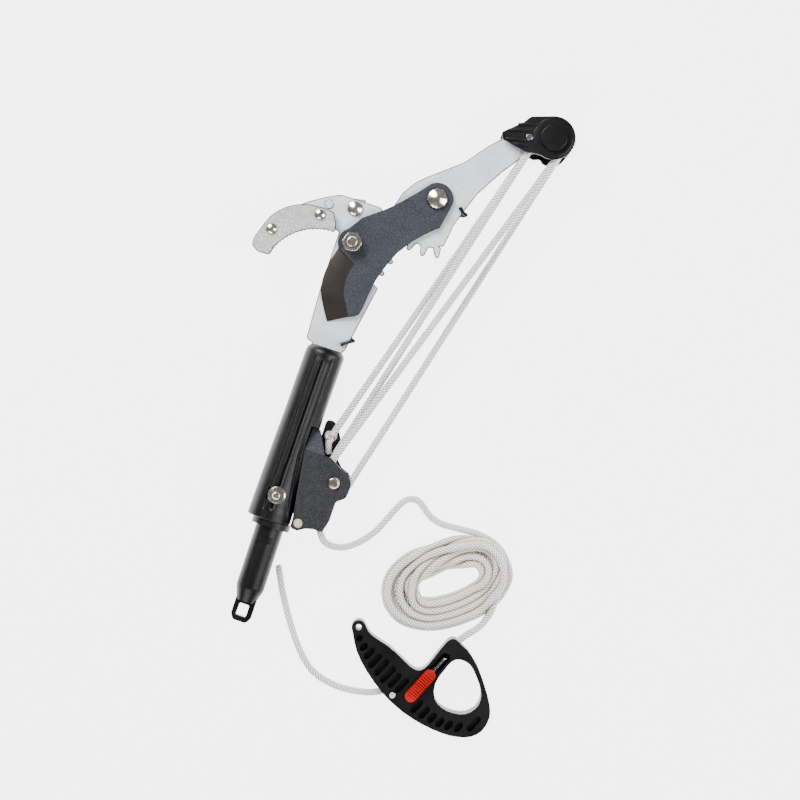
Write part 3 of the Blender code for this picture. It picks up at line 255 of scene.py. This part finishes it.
def rope_look():
    """White braid, unevenly white on the raised yarns, with painted shade: near black in the hollows between
    the yarns and beige where strands touch.
    """
    made, tree, shader = new_material("white_rope")
    relief = node(tree, "ShaderNodeAttribute")
    relief.attribute_name = "relief"
    crease = node(tree, "ShaderNodeAttribute")
    crease.attribute_name = "crease"
    fibres = noise(tree, 3800.0, 3.0)
    # Patch noise for uneven soiling of the white and for the tone of the painted crease shade.
    dirt_and_shade_patches = noise(tree, 28.0, 3.0)
    clean = tones(tree, dirt_and_shade_patches, (0.35, (0.95, 0.94, 0.91)), (0.6, (1.0, 0.995, 0.985)))
    # Painted shade in the hollows between the yarns.
    painted_hollow_shade = tones(tree, fibres, (0.3, (0.045, 0.042, 0.038)), (0.7, (0.15, 0.142, 0.13)))
    share = level(tree, relief.outputs["Fac"], 0.25, 0.70, 0.0, 1.0)
    # Painted shade, beige, where the rope lies against itself, by the crease attribute.
    painted_crease_shade = tones(tree, dirt_and_shade_patches, (0.3, (0.30, 0.21, 0.11)), (0.7, (0.50, 0.40, 0.26)))
    touching = level(tree, crease.outputs["Fac"], 0.0, 1.0, 0.0, 0.95)
    braided = mixed(tree, share, painted_hollow_shade, clean)
    tree.links.new(mixed(tree, touching, braided, painted_crease_shade), shader.inputs["Base Color"])
    shader.inputs["Roughness"].default_value = 0.75
    shader.inputs["Sheen Weight"].default_value = 0.15
    shader.inputs["Sheen Roughness"].default_value = 0.4
    bump(tree, shader, fibres, 0.00012, 0.6)
    return made


LOOKS = {
    "silver_paint": paint("silver_paint", (0.56, 0.58, 0.63), (0.92, 0.94, 0.99), 0.5, 0.42, 1900.0, 0.00003),
    "grey_paint": paint(
        "grey_paint", (0.26, 0.262, 0.255), (0.66, 0.665, 0.655), 0.45, 0.45, 1700.0, 0.00003
    ),
    "slate_coating": paint(
        "slate_coating", (0.008, 0.009, 0.012), (0.050, 0.053, 0.068), 0.1, 0.42, 1900.0, 0.00003, 0.3
    ),
    "charcoal_powder_coat": paint(
        "charcoal_powder_coat", (0.004, 0.004, 0.005), (0.024, 0.025, 0.030), 0.0, 0.55, 1500.0, 0.00007, 0.28
    ),
    # Painted shade: near-black looks for the steep sides of plates, the blade arm and the bracket, in place
    # of their own paint.
    "painted_side_shade": paint(
        "painted_side_shade", (0.010, 0.010, 0.012), (0.045, 0.045, 0.052), 0.1, 0.6, 2400.0, 0.00003, 0.2
    ),
    "painted_dark_side_shade": paint(
        "painted_dark_side_shade", (0.002, 0.002, 0.003), (0.008, 0.008, 0.010), 0.0, 0.45, 2400.0, 0.00002, 0.3
    ),
    "ground_bevel": paint(
        "ground_bevel", (0.006, 0.0045, 0.0035), (0.022, 0.017, 0.013), 0.2, 0.42, 2600.0, 0.00002, 0.3
    ),
    "black_plastic": plastic("black_plastic", (0.0014, 0.0014, 0.0018), 0.36, 2200.0, 0.00008),
    "black_nylon": plastic("black_nylon", (0.006, 0.006, 0.0065), 0.5, 3000.0, 0.00003),
    "red_plastic": plastic("red_plastic", (0.27, 0.0024, 0.0005), 0.38, 2600.0, 0.00003),
    "bright_steel": polished(
        "bright_steel", (0.68, 0.60, 0.50), 0.16, (0.92, 0.84, 0.74), (0.07, 0.05, 0.032)
    ),
    "blue_zinc": polished("blue_zinc", (0.55, 0.62, 0.70), 0.15, (0.75, 0.82, 0.88), (0.10, 0.12, 0.14)),
    "spring_steel": polished("spring_steel", (0.62, 0.63, 0.65), 0.2, (0.85, 0.86, 0.88), (0.40, 0.40, 0.42)),
    "brass": polished("brass", (0.92, 0.80, 0.60), 0.42, (1.0, 0.92, 0.76), (0.35, 0.27, 0.16)),
    "red_shadow": plastic("red_shadow", (0.13, 0.0016, 0.0004), 0.5, 2600.0, 0.00003),
    "black_wire": paint(
        "black_wire", (0.003, 0.003, 0.0035), (0.010, 0.010, 0.011), 0.2, 0.35, 2500.0, 0.00002, 0.3
    ),
    "white_rope": rope_look(),
}


# ---------------------------------------------------------------- CAD pieces with rounded edges

def smooth_faces(mesh, degrees=32.0):
    """Smooth shading with sharp edges where faces meet at more than an angle."""
    mesh.polygons.foreach_set("use_smooth", [True] * len(mesh.polygons))
    mesh.set_sharp_from_angle(angle=math.radians(degrees))


def finished(name, look, edge, side_look):
    """Smoothed copy of a CAD node with broken edges; its steep sides may take a darker look as painted shade,
    and its gently tilted faces a slope look.
    """
    source = NODES[name]
    mesh = source.data.copy()
    mesh.materials.clear()
    bm = bmesh.new()
    bm.from_mesh(mesh)
    bmesh.ops.remove_doubles(bm, verts=bm.verts, dist=2e-6)
    bmesh.ops.dissolve_limit(bm, angle_limit=math.radians(0.8), verts=bm.verts, edges=bm.edges)
    if edge:
        sharp = [e for e in bm.edges if len(e.link_faces) == 2 and e.calc_face_angle() > math.radians(32)]
        bmesh.ops.bevel(
            bm, geom=sharp, offset=edge, offset_type="OFFSET", segments=2, profile=0.6, affect="EDGES",
            clamp_overlap=side_look not in ("painted_side_shade", "painted_dark_side_shade"), miter_outer="ARC",
        )
    bm.to_mesh(mesh)
    bm.free()
    smooth_faces(mesh)
    mesh.materials.append(LOOKS[look])
    if side_look:
        mesh.materials.append(LOOKS[side_look])
        slope_look = SLOPES.get(name)
        mesh.materials.append(LOOKS[slope_look or side_look])
        for face in mesh.polygons:
            lean = abs(face.normal.z)
            # Gently tilted faces take the slope look; the bracket's is a painted highlight.
            if slope_look and 0.86 < face.normal.z < 0.995 and face.area > 1e-6:
                face.material_index = 2
            # Steep faces take the side look: painted shade.
            elif lean < 0.985:
                face.material_index = 1
    made = bpy.data.objects.new(name + "_finished", mesh)
    bpy.context.scene.collection.objects.link(made)
    even = made.modifiers.new("even_shading", "WEIGHTED_NORMAL")
    even.keep_sharp = True
    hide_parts(name)
    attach(made, source["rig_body"])


# ---------------------------------------------------------------- rope

YARNS = 6  # raised yarns round the rope, with as many hollows between them
ROPE_SIDES = 4 * YARNS
BRAID_STEP = 0.66 * MM  # a quarter of the way from one raised yarn to the next along the rope
BRAID_RELIEF = 0.13 * MM


def spline(points, per_span):
    """Catmull-Rom curve through points, as an array."""
    p = np.array([tuple(q) for q in points], float)
    ends = np.vstack([2 * p[0] - p[1], p, 2 * p[-1] - p[-2]])
    out = []
    for i in range(1, len(ends) - 2):
        a, b, c, d = ends[i - 1: i + 3]
        for t in np.linspace(0.0, 1.0, per_span, endpoint=False):
            square = (2 * a - 5 * b + 4 * c - d) * t * t
            cube = (3 * b - a - 3 * c + d) * t ** 3
            out.append(0.5 * (2 * b + (c - a) * t + square + cube))
    out.append(p[-1])
    return np.array(out)


def resampled(path, step):
    """The same line with points a fixed distance apart."""
    reach = np.r_[0.0, np.cumsum(np.linalg.norm(np.diff(path, axis=0), axis=1))]
    count = max(2, int(round(reach[-1] / step)) + 1)
    marks = np.linspace(0.0, reach[-1], count)
    return np.column_stack([np.interp(marks, reach, path[:, k]) for k in range(3)])


def frames_along(path):
    """Directions along a line, with two cross directions that don't twist."""
    ahead = np.gradient(path, axis=0)
    ahead /= np.linalg.norm(ahead, axis=1)[:, None]
    side = np.cross(ahead[0], (0.0, 0.0, 1.0))
    if np.linalg.norm(side) < 0.1:
        side = np.cross(ahead[0], (1.0, 0.0, 0.0))
    sides = []
    for direction in ahead:
        side = side - direction * (side @ direction)
        side /= np.linalg.norm(side)
        sides.append(side)
    sides = np.array(sides)
    return ahead, sides, np.cross(ahead, sides)


def creases(line, surface, radius):
    """How near each point of a rope's surface is to another stretch of the same rope, from 0 to 1."""
    every = 4
    centres = line[::every]
    near = np.zeros(surface.shape[:2])
    apart = np.linalg.norm(centres[:, None, :] - centres[None, :, :], axis=2)
    index = np.arange(len(centres))
    apart[np.abs(index[:, None] - index[None, :]) * BRAID_STEP * every < 5 * radius] = 1.0
    for k in range(len(centres)):
        others = centres[apart[k] < 4.5 * radius]
        if len(others):
            rows = surface[k * every: (k + 1) * every]
            gap = np.linalg.norm(rows[:, :, None, :] - others[None, None, :, :], axis=3).min(axis=2)
            touch = np.clip((1.85 * radius - gap) / (0.7 * radius), 0.0, 1.0)
            near[k * every: (k + 1) * every] = touch ** 1.5
    return near


def braid(name, path, body, nodes, diameter=ROPE):
    """Braided rope along a line: a tube whose surface rises and falls in the lattice of the yarns."""
    line = resampled(np.array(path, float), BRAID_STEP)
    ahead, across, up = frames_along(line)
    angles = np.arange(ROPE_SIDES) * math.tau / ROPE_SIDES
    rows, columns = len(line), ROPE_SIDES
    i, j = np.meshgrid(np.arange(rows), np.arange(columns), indexing="ij")
    raised = 0.5 + 0.5 * np.cos(math.pi * i / 2) * np.cos(math.pi * j / 2)
    radius = diameter / 2 - 2 * BRAID_RELIEF * (1 - raised)
    from_end = np.minimum(np.arange(rows), rows - 1 - np.arange(rows)) * BRAID_STEP
    taper = np.sqrt(1 - (1 - np.clip(from_end / (0.35 * diameter), 0.0, 1.0)) ** 2)
    radius = radius * (0.25 + 0.75 * taper)[:, None]
    ring = np.cos(angles)[None, :, None] * across[:, None, :] + np.sin(angles)[None, :, None] * up[:, None, :]
    verts = (line[:, None, :] + radius[:, :, None] * ring).reshape(-1, 3)
    # Mask for the painted crease shade of the rope material, where the rope lies against itself.
    crease = creases(line, verts.reshape(rows, columns, 3), diameter / 2)
    following = np.roll(np.arange(columns), -1)
    a = np.arange(rows - 1)[:, None] * columns + np.arange(columns)[None, :]
    b = np.arange(rows - 1)[:, None] * columns + following[None, :]
    quads = np.stack([a, b, b + columns, a + columns], axis=-1).reshape(-1, 4)
    faces = quads.tolist()
    faces.append(list(range(columns))[::-1])
    faces.append(list(range((rows - 1) * columns, rows * columns)))
    mesh = bpy.data.meshes.new(name)
    mesh.from_pydata(verts.tolist(), [], faces)
    relief = mesh.attributes.new("relief", "FLOAT", "POINT")
    relief.data.foreach_set("value", raised.reshape(-1).astype(np.float32))
    touching = mesh.attributes.new("crease", "FLOAT", "POINT")
    touching.data.foreach_set("value", crease.reshape(-1).astype(np.float32))
    mesh.polygons.foreach_set("use_smooth", [True] * len(mesh.polygons))
    mesh.materials.append(LOOKS["white_rope"])
    made = bpy.data.objects.new(name, mesh)
    bpy.context.scene.collection.objects.link(made)
    if nodes:
        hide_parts(*nodes)
    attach(made, body)
    return made


# Free rope: out of the bracket, along the floor, round the coil and into the handle, in tool millimetres.
LEAD = (
    (33.0, 24.0, 20.9), (35.6, 12.6, 20.9), (39.2, 4.4, 20.7), (44.6, -2.6, 19.4), (52.1, -4.6, 15.2),
    (60.0, -3.2, 10.4), (67.1, 1.2, 6.4), (73.9, 7.8, 4.0), (79.8, 16.2, 2.9), (84.2, 25.8, 2.8),
    (87.7, 34.2, 2.8), (91.1, 41.4, 2.8), (94.1, 45.3, 2.8), (98.4, 47.5, 2.8), (103.0, 47.4, 2.8),
    (107.2, 44.9, 2.8), (111.8, 41.2, 2.8), (117.4, 38.0, 2.8), (124.5, 36.2, 2.8), (131.5, 36.2, 2.8),
    (138.6, 37.0, 2.8), (146.0, 37.8, 2.8), (152.0, 38.6, 2.8),
)
TO_HANDLE = (
    (181.0, -20.5, 2.8), (179.2, -25.4, 2.8), (175.2, -30.8, 3.4), (170.4, -36.0, 5.4), (165.4, -40.9, 8.0),
    (162.2, -48.4, 9.0),
)
TAIL = (
    (123.0, -95.6, 6.4), (119.5, -98.6, 5.2), (109.3, -102.7, 3.4), (93.0, -105.0, 2.8), (76.3, -103.2, 2.8),
    (63.5, -97.6, 2.8), (50.6, -85.2, 2.8), (38.2, -68.4, 2.8), (27.6, -51.4, 2.8), (20.2, -37.5, 2.8),
    (17.6, -31.4, 2.8),
)
COIL_CENTRE = (142.3, -4.7)
COIL_LEAN = math.radians(34.0)
COIL_POINTS = 90  # points in each planned turn
SQUARENESS = 2.2  # how straight the long sides of a turn are
# Bend radius in millimetres that settling works towards. The inner turns stay tighter than this.
EASY_BEND = 13.5
ROPE_SPAN = 3.0  # millimetres between the points of the settled rope
# Half length and half width of each turn in millimetres, its middle's shift along and across,
# its extra lean in degrees, and the height that it starts from before it settles.
COIL_TURNS = np.array((
    (48.4, 31.0, -1.4, 0.4, 0.0, 3.0),
    (44.2, 27.0, -3.0, 0.6, -3.0, 3.0),
    (39.4, 22.0, -3.4, 0.4, 1.0, 3.0),
    (35.6, 17.6, -1.4, 0.0, -2.0, 3.0),
    (32.0, 14.0, 0.0, -0.4, 0.0, 3.5),
    (33.6, 15.8, 1.6, 0.8, 5.0, 12.0),
    (35.0, 18.6, 8.6, 2.0, 13.0, 15.0),
    (39.4, 22.0, 8.0, 1.4, 12.0, 17.0),
    (44.0, 24.4, 2.6, -0.8, 7.0, 19.0),
    (47.0, 29.6, -2.4, -1.2, 1.0, 14.0),
    (50.4, 31.2, 0.4, 0.2, 0.0, 5.0),
))
COIL_START = math.radians(36.0)  # phase on the first turn's oval where the lead comes in
COIL_END = math.radians(-22.0)  # phase on the last turn's oval where the rope leaves


def coil_plan():
    """Planned line of the coil, clockwise, before it settles under its own weight."""
    turns = len(COIL_TURNS) - 1
    sweep = turns * math.tau + (COIL_START - COIL_END) % math.tau - math.tau
    where = np.linspace(0.0, sweep, int(sweep / math.tau * COIL_POINTS))
    t = np.clip(where / math.tau, 0.0, turns - 1e-6)
    i = t.astype(int)
    f = (t - i)[:, None]
    f = f * f * (3 - 2 * f)
    values = COIL_TURNS[i] * (1 - f) + COIL_TURNS[i + 1] * f
    a, b, du, dv, lean, z = values.T
    phase = COIL_START - where
    c, s = np.cos(phase), np.sin(phase)
    # Nearly straight sides with round ends.
    straight = np.tanh(SQUARENESS * c) / math.tanh(SQUARENESS)
    u = (a - b) * straight + b * c
    v = b * s
    lean = np.radians(lean)
    u, v = u * np.cos(lean) - v * np.sin(lean) + du, u * np.sin(lean) + v * np.cos(lean) + dv
    x = COIL_CENTRE[0] + u * math.cos(COIL_LEAN) - v * math.sin(COIL_LEAN)
    y = COIL_CENTRE[1] + u * math.sin(COIL_LEAN) + v * math.cos(COIL_LEAN)
    return np.column_stack([x, y, z])


def near_pairs(path, reach):
    """Pairs of points that are near each other but not neighbours along the rope."""
    gap = np.linalg.norm(path[:, None, :] - path[None, :, :], axis=2)
    first, second = np.nonzero(gap < reach)
    apart = second - first > 5
    return first[apart], second[apart]


def settled(path, fixed_start, fixed_end, rounds=420):
    """Rope under its own weight, in millimetres: it sinks and rests on the floor and on itself."""
    diameter = ROPE / MM
    home = path.copy()
    count = len(path)
    loose = np.ones(count)
    loose[:fixed_start] = 0.0
    loose[count - fixed_end:] = 0.0
    loose = loose[:, None]
    most_bend = ROPE_SPAN ** 2 / (2 * EASY_BEND)
    for k in range(rounds):
        if k % 15 == 0:
            first, second = near_pairs(path, 2.2 * diameter)
        path[:, 2] -= loose[:, 0] * (0.2 if k < rounds * 0.7 else 0.04)
        path[:, :2] += 0.03 * loose * (home[:, :2] - path[:, :2])
        for _ in range(3):
            delta = path[first] - path[second]
            gap = np.linalg.norm(delta, axis=1) + 1e-9
            push = np.where(gap < diameter, (diameter - gap) / gap * 0.30, 0.0)[:, None] * delta
            move = np.zeros_like(path)
            np.add.at(move, first, push)
            np.add.at(move, second, -push)
            path += loose * np.clip(move, -0.6, 0.6)
            bend = (path[:-2] + path[2:]) / 2 - path[1:-1]
            size = np.linalg.norm(bend, axis=1)[:, None] + 1e-9
            ease_off = bend * np.clip(1 - most_bend * 0.8 / size, 0.0, 1.0)
            path[1:-1] += 0.4 * loose[1:-1] * ease_off
            path[:-2] -= 0.2 * loose[:-2] * ease_off
            path[2:] -= 0.2 * loose[2:] * ease_off
            span = np.diff(path, axis=0)
            reach = np.linalg.norm(span, axis=1)[:, None]
            pull = span * (1 - ROPE_SPAN / reach) * 0.4
            path[:-1] += loose[:-1] * pull
            path[1:] -= loose[1:] * pull
            path[:, 2] = np.maximum(path[:, 2], diameter / 2 + 0.1)
        even = (path[:-2] + 2 * path[1:-1] + path[2:]) / 4
        path[1:-1] += 0.5 * loose[1:-1] * (even - path[1:-1])
    return path


def free_rope():
    """The main rope's whole line, from the bracket to the handle, settled."""
    lead = resampled(spline(LEAD, 8), ROPE_SPAN)
    away = resampled(spline(TO_HANDLE, 8), ROPE_SPAN)
    coil = coil_plan()[6:-6]
    joined = resampled(np.vstack([lead, coil, away]), ROPE_SPAN)
    rounded = joined.copy()
    for _ in range(6):
        rounded[1:-1] = (rounded[:-2] + 2 * rounded[1:-1] + rounded[2:]) / 4
    share = np.clip((np.arange(len(joined)) - len(lead) + 14) / 8, 0.0, 1.0)[:, None]
    joined = resampled(joined * (1 - share) + rounded * share, ROPE_SPAN)
    return settled(joined, len(lead) - 8, len(away) - 3)


HAUL_LEAVES = 198.2  # degrees round the bracket sheave where the rope leaves it


def make_ropes():
    """Four falls between the sheaves, their turns, the free rope with its coil, and the tail."""
    up = math.degrees(math.atan2(TIP_AXLE[1] - BRACKET_AXLE[1], TIP_AXLE[0] - BRACKET_AXLE[0]))

    def on(centre, degrees, z):
        reach = ROPE_ON_SHEAVE / MM
        turn = math.radians(degrees)
        return at(centre[0] + reach * math.cos(turn), centre[1] + reach * math.sin(turn), z)

    def turn(centre, start, end, z, steps=16):
        return [on(centre, start + (end - start) * k / steps, z) for k in range(steps + 1)]

    span = math.dist(BRACKET_AXLE, TIP_AXLE)
    cross_lean = math.degrees(math.acos(2 * (ROPE_ON_SHEAVE / MM) / span))
    haul_tip = up + 180 + cross_lean
    haul_foot = up + cross_lean
    becket_span = math.dist(KNOT, TIP_AXLE)
    becket_up = math.degrees(math.atan2(TIP_AXLE[1] - KNOT[1], TIP_AXLE[0] - KNOT[0]))
    becket_direction = becket_up + math.degrees(math.asin(ROPE_ON_SHEAVE / MM / becket_span))
    falls = (
        ("rear_fall", on(BRACKET_AXLE, up - 90, BRACKET_REAR_Z), on(TIP_AXLE, up - 90, TIP_REAR_Z)),
        ("cross_fall", on(BRACKET_AXLE, up + 90, BRACKET_REAR_Z), on(TIP_AXLE, up + 90, TIP_FRONT_Z)),
        ("hauling_fall", on(BRACKET_AXLE, haul_foot, BRACKET_FRONT_Z), on(TIP_AXLE, haul_tip, TIP_FRONT_Z)),
    )
    for name, foot, head in falls:
        strand = braid(name + "_rope", [foot, head], "rope_falls", [name])
        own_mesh(strand)
    foot = at(*KNOT, 12.2)
    head = on(TIP_AXLE, becket_direction + 90, TIP_REAR_Z)
    strand = braid("becket_fall_rope", [foot, head], "becket_fall", ["becket_fall"])
    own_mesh(strand)
    rear_turn = turn(TIP_AXLE, up - 90, becket_direction + 90, TIP_REAR_Z)
    braid("tip_rear_wrap", rear_turn, "tip_rope_turns", ["tip_turn_rear"])
    front_turn = turn(TIP_AXLE, haul_tip - 360, up + 90, TIP_FRONT_Z)
    braid("tip_front_wrap", front_turn, "tip_rope_turns", ["tip_turn_front"])
    low_turn = turn(BRACKET_AXLE, up - 90, up - 270, BRACKET_REAR_Z)
    braid("bracket_rear_wrap", low_turn, "rope_falls", ["bracket_turn"])
    braid("bracket_front_wrap", turn(BRACKET_AXLE, haul_foot, HAUL_LEAVES, BRACKET_FRONT_Z) + [at(*LEAD[0])],
          "frame", ["hauling_turn"])
    line = free_rope()
    world = np.array([at(*p) for p in line])
    main = braid("free_rope", world, "frame", ["rope_lead", "rope_coil", "rope_to_handle"])
    loose = np.array([at(*p) for p in spline(TAIL, 6)])
    tail = braid("rope_tail_end", loose, "frame", ["rope_tail"])


# ---------------------------------------------------------------- rebuilt plastic and knot

def add_piece(name, verts, faces, look, body, nodes=(), smooth_angle=32.0):
    """A new mesh piece with a look, riding on a body and standing for CAD nodes."""
    mesh = bpy.data.meshes.new(name)
    mesh.from_pydata([tuple(v) for v in verts], [], faces)
    smooth_faces(mesh, smooth_angle)
    mesh.materials.append(LOOKS[look])
    made = bpy.data.objects.new(name, mesh)
    bpy.context.scene.collection.objects.link(made)
    if nodes:
        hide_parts(*nodes)
    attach(made, body)


def skin(rings):
    """Faces over equal closed rings of points, with flat ends, outward for rings that run up their normal."""
    count = len(rings[0])
    faces = []
    for r in range(len(rings) - 1):
        for k in range(count):
            n = (k + 1) % count
            faces.append((r * count + k, r * count + n, (r + 1) * count + n, (r + 1) * count + k))
    faces.append(tuple(range(count))[::-1])
    faces.append(tuple(range((len(rings) - 1) * count, len(rings) * count)))
    return [p for ring in rings for p in ring], faces


SOCKET_END = 135.4
SOCKET_MID_Z = 16.5
SOCKET_SIDES = 240


def ease(value):
    """Smooth step from 0 to 1."""
    value = min(1.0, max(0.0, value))
    return value * value * (3 - 2 * value)


def ridge_line(y):
    """Where the socket's ridge runs, swinging out to the right towards the foot."""
    return 7.3 + 7.8 * max(0.0, (60.0 - y) / 60.0) ** 1.6


def socket_relief(x, y):
    """Height of the moulded pattern above the plain tube: two grooves, a panel between them and a ridge."""
    shown = ease((y - 7.0) / 3.0) * ease((127.5 - y) / 3.0)
    grooves = -1.1 * math.exp(-((x + 5.5) / 0.6) ** 2) - 1.5 * math.exp(-((x - 0.2) / 0.65) ** 2)
    panel = 0.28 * ease((x + 5.4) / 1.2) * ease((0.2 - x) / 1.2)
    ridge = ridge_line(y)
    band = -0.45 * ease((x - 1.4) / 1.0) * ease((ridge - 0.4 - x) / 1.0)
    crest = 0.7 * math.exp(-((x - ridge) / 0.6) ** 2) * ease((y + 3.0) / 3.0)
    return shown * (grooves + panel + band) + ease((129.0 - y) / 2.0) * crest


def make_socket():
    """Ribbed pole socket with a rounded top, flared foot, and a seat for the bracket on its right flank."""
    stations = [0.0, 0.15, 0.6] + list(np.arange(1.5, 130.0, 1.1))
    corner = 5.6
    stations += [SOCKET_END - corner + corner * math.sin(math.radians(a)) for a in range(3, 91, 6)]
    rings = []
    for y in stations:
        share = y / 135.0
        middle = 1.6 * share * share
        radius = 16.5 - 1.7 * min(1.0, share * 1.6)
        over = max(0.0, y - (SOCKET_END - corner)) / corner
        radius -= corner * 0.9 * (1 - math.sqrt(max(0.0, 1 - over * over)))
        radius -= 0.5 * max(0.0, 1 - y / 0.6) if y < 0.6 else 0.0
        ring = []
        for k in range(SOCKET_SIDES):
            turn = -math.tau * k / SOCKET_SIDES
            c, s = math.cos(turn), math.sin(turn)
            reach = radius + socket_relief(radius * c, y) * min(1.0, abs(s) * 3)
            x, z = middle + reach * c, SOCKET_MID_Z + reach * s
            edge = 9.4 + max(0.0, 58.4 - y) * 0.1493
            if z > SOCKET_MID_Z and x > edge and y < 75.9:
                z = min(z, 24.8 - 0.4353 * max(0.0, y - 58.4))
            ring.append(at(x, y, z))
        rings.append(ring)
    verts, faces = skin(rings)
    add_piece("socket_shell", verts, faces, "black_plastic", "frame", ["pole_socket"], 40.0)


def make_knot():
    """Overhand knot on the ear: a trefoil of the rope, drawn tight, and its short cut end."""
    loop = []
    for k in range(61):
        t = math.tau * k / 60
        x = math.sin(t) + 2 * math.sin(2 * t)
        y = math.cos(t) - 2 * math.cos(2 * t)
        loop.append(at(KNOT[0] + 0.95 * x, KNOT[1] + 1.2 + 1.15 * y, 13.2 - 2.0 * math.sin(3 * t)))
    braid("knot_rope", loop, "frame", ["rope_knot"], 4.2 * MM)
    end = [(25.2, 70.4, 14.8), (25.4, 66.8, 15.4), (26.4, 63.0, 14.8), (27.4, 59.6, 13.6)]
    braid("knot_end", [at(*p) for p in spline(end, 6)], "frame", [], 4.9 * MM)


def prism(outline, low, high, chamfer):
    """Upright prism over an outline in tool millimetres, with its upper edge chamfered towards its middle."""
    middle = np.mean(np.array(outline), axis=0)
    rings = []
    levels = ((low, 0.0), (high - chamfer, 0.0), (high - chamfer * 0.3, chamfer * 0.3), (high, chamfer))
    for z, inset in levels:
        ring = []
        for p in outline:
            away = np.array(p) - middle
            reach = np.linalg.norm(away)
            ring.append(at(*(middle + away * (1 - inset / reach)), z))
        rings.append(ring)
    return skin(rings)


def bar(start, end, width, steps=5):
    """Outline of a straight bar with round ends."""
    direction = math.atan2(end[1] - start[1], end[0] - start[0])
    points = []
    for centre, first in ((end, -90), (start, 90)):
        for k in range(steps + 1):
            turn = direction + math.radians(first + 180 * k / steps)
            points.append((centre[0] + width / 2 * math.cos(turn), centre[1] + width / 2 * math.sin(turn)))
    return points


SHELL_TOP = 27.9  # front face of the pulley housing
NOSE_RIBS = (
    ((85.2, 338.4), (100.0, 343.2)), ((79.2, 331.9), (93.3, 336.4)), ((79.7, 325.3), (94.2, 328.8)),
    ((86.6, 323.4), (95.6, 325.3)),
)


def make_housing_trim():
    """Ribs on the housing's nose, the rim and the eight-sided hub over the sheaves."""
    for number, (start, end) in enumerate(NOSE_RIBS):
        verts, faces = prism(bar(start, end, 1.5), SHELL_TOP - 0.3, SHELL_TOP + 1.3, 0.4)
        add_piece(f"nose_rib_{number}", verts, faces, "black_plastic", "lever")
    hub = []
    for k in range(8):
        corner = math.radians(18.3 + 22.5 + 45 * k)
        for lean in (-7, 0, 7):
            turn = corner + math.radians(lean)
            hub.append((TIP_AXLE[0] + 10.0 * math.cos(turn), TIP_AXLE[1] + 10.0 * math.sin(turn)))
    verts, faces = prism(hub, SHELL_TOP - 0.3, SHELL_TOP + 3.0, 0.4)
    add_piece("housing_hub", verts, faces, "black_plastic", "lever", ["tip_hub"], 15.0)
    rings = []
    for radius, z in ((13.6, -0.2), (13.8, 0.3), (14.2, 0.45), (14.9, 0.45), (15.3, 0.3), (15.5, -0.2)):
        ring = []
        for k in range(72):
            turn = math.tau * k / 72
            x = TIP_AXLE[0] + radius * math.cos(turn)
            y = TIP_AXLE[1] + radius * math.sin(turn)
            ring.append(at(x, y, SHELL_TOP + z))
        rings.append(ring)
    verts, faces = skin(rings)
    add_piece("housing_rim", verts, faces[:-2], "black_plastic", "lever")


def squeeze_slider_spring():
    """Gives the finished spring above the slider a mesh of its own."""
    spring = bpy.data.objects["slider_spring_finished"]
    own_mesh(spring)


# ---------------------------------------------------------------- the model

FINISHED = (
    ("frame_plate", "silver_paint", 0.75),
    ("lever_plate", "silver_paint", 0.75),
    ("jaw_plate", "grey_paint", 0.7),
    ("stop_plate", "grey_paint", 0.3),
    ("blade_arm", "slate_coating", 0.45),
    ("pole_adapter", "black_plastic", 0.5),
    ("housing_front", "black_plastic", 0.5),
    ("housing_rear", "black_plastic", 0.5),
    ("tip_axle", "black_plastic", 0.2),
    ("pull_handle", "black_plastic", 0.8),
    ("sheave_bracket", "charcoal_powder_coat", 0.35),
    ("lock_slider", "red_plastic", 0.3),
    ("pivot_nut", "bright_steel", 0.3),
    ("pivot_bolt", "bright_steel", 0.25),
    ("pivot_washer", "bright_steel", 0.2),
    ("socket_bolt", "bright_steel", 0.25),
    ("flange_nut", "bright_steel", 0.25),
    ("jaw_rivet_tip", "bright_steel", 0.15),
    ("jaw_rivet_root", "bright_steel", 0.15),
    ("frame_rivet", "bright_steel", 0.15),
    ("jaw_pin", "silver_paint", 0.3),
    ("tang_rivet", "bright_steel", 0.2),
    ("lever_rivet", "bright_steel", 0.15),
    ("housing_screw", "blue_zinc", 0.2),
    ("bracket_axle", "bright_steel", 0.15),
    ("sheave_spacer", "bright_steel", 0.2),
    ("handle_pin", "brass", 0.2),
    ("bracket_rivet", "brass", 0.15),
    ("tip_sheave_rear", "black_nylon", 0.3),
    ("tip_sheave_front", "black_nylon", 0.3),
    ("bracket_sheave_rear", "black_nylon", 0.3),
    ("bracket_sheave_front", "black_nylon", 0.3),
    ("return_spring", "black_wire", 0.0),
    ("spring_leg", "black_wire", 0.0),
    ("slider_spring", "spring_steel", 0.0),
)

# Gently tilted faces take these looks: the blade arm's is its ground bevel finish, the bracket's is a lighter
# coating painted as light caught by its tilted cheek.
SLOPES = {"blade_arm": "ground_bevel", "sheave_bracket": "slate_coating"}
# Steep side faces of these pieces take these looks as painted shade, the slider's as red_shadow.
SIDES = {
    "frame_plate": "painted_side_shade", "lever_plate": "painted_side_shade", "jaw_plate": "painted_side_shade", "stop_plate": "painted_side_shade",
    "jaw_pin": "painted_side_shade", "blade_arm": "painted_dark_side_shade", "sheave_bracket": "painted_dark_side_shade",
    "lock_slider": "red_shadow",
}

make_camera()
make_studio()
make_ropes()
for cad_name, look_name, rounding in FINISHED:
    finished(cad_name, look_name, rounding * MM, SIDES.get(cad_name))
make_socket()
make_knot()
make_housing_trim()
squeeze_slider_spring()
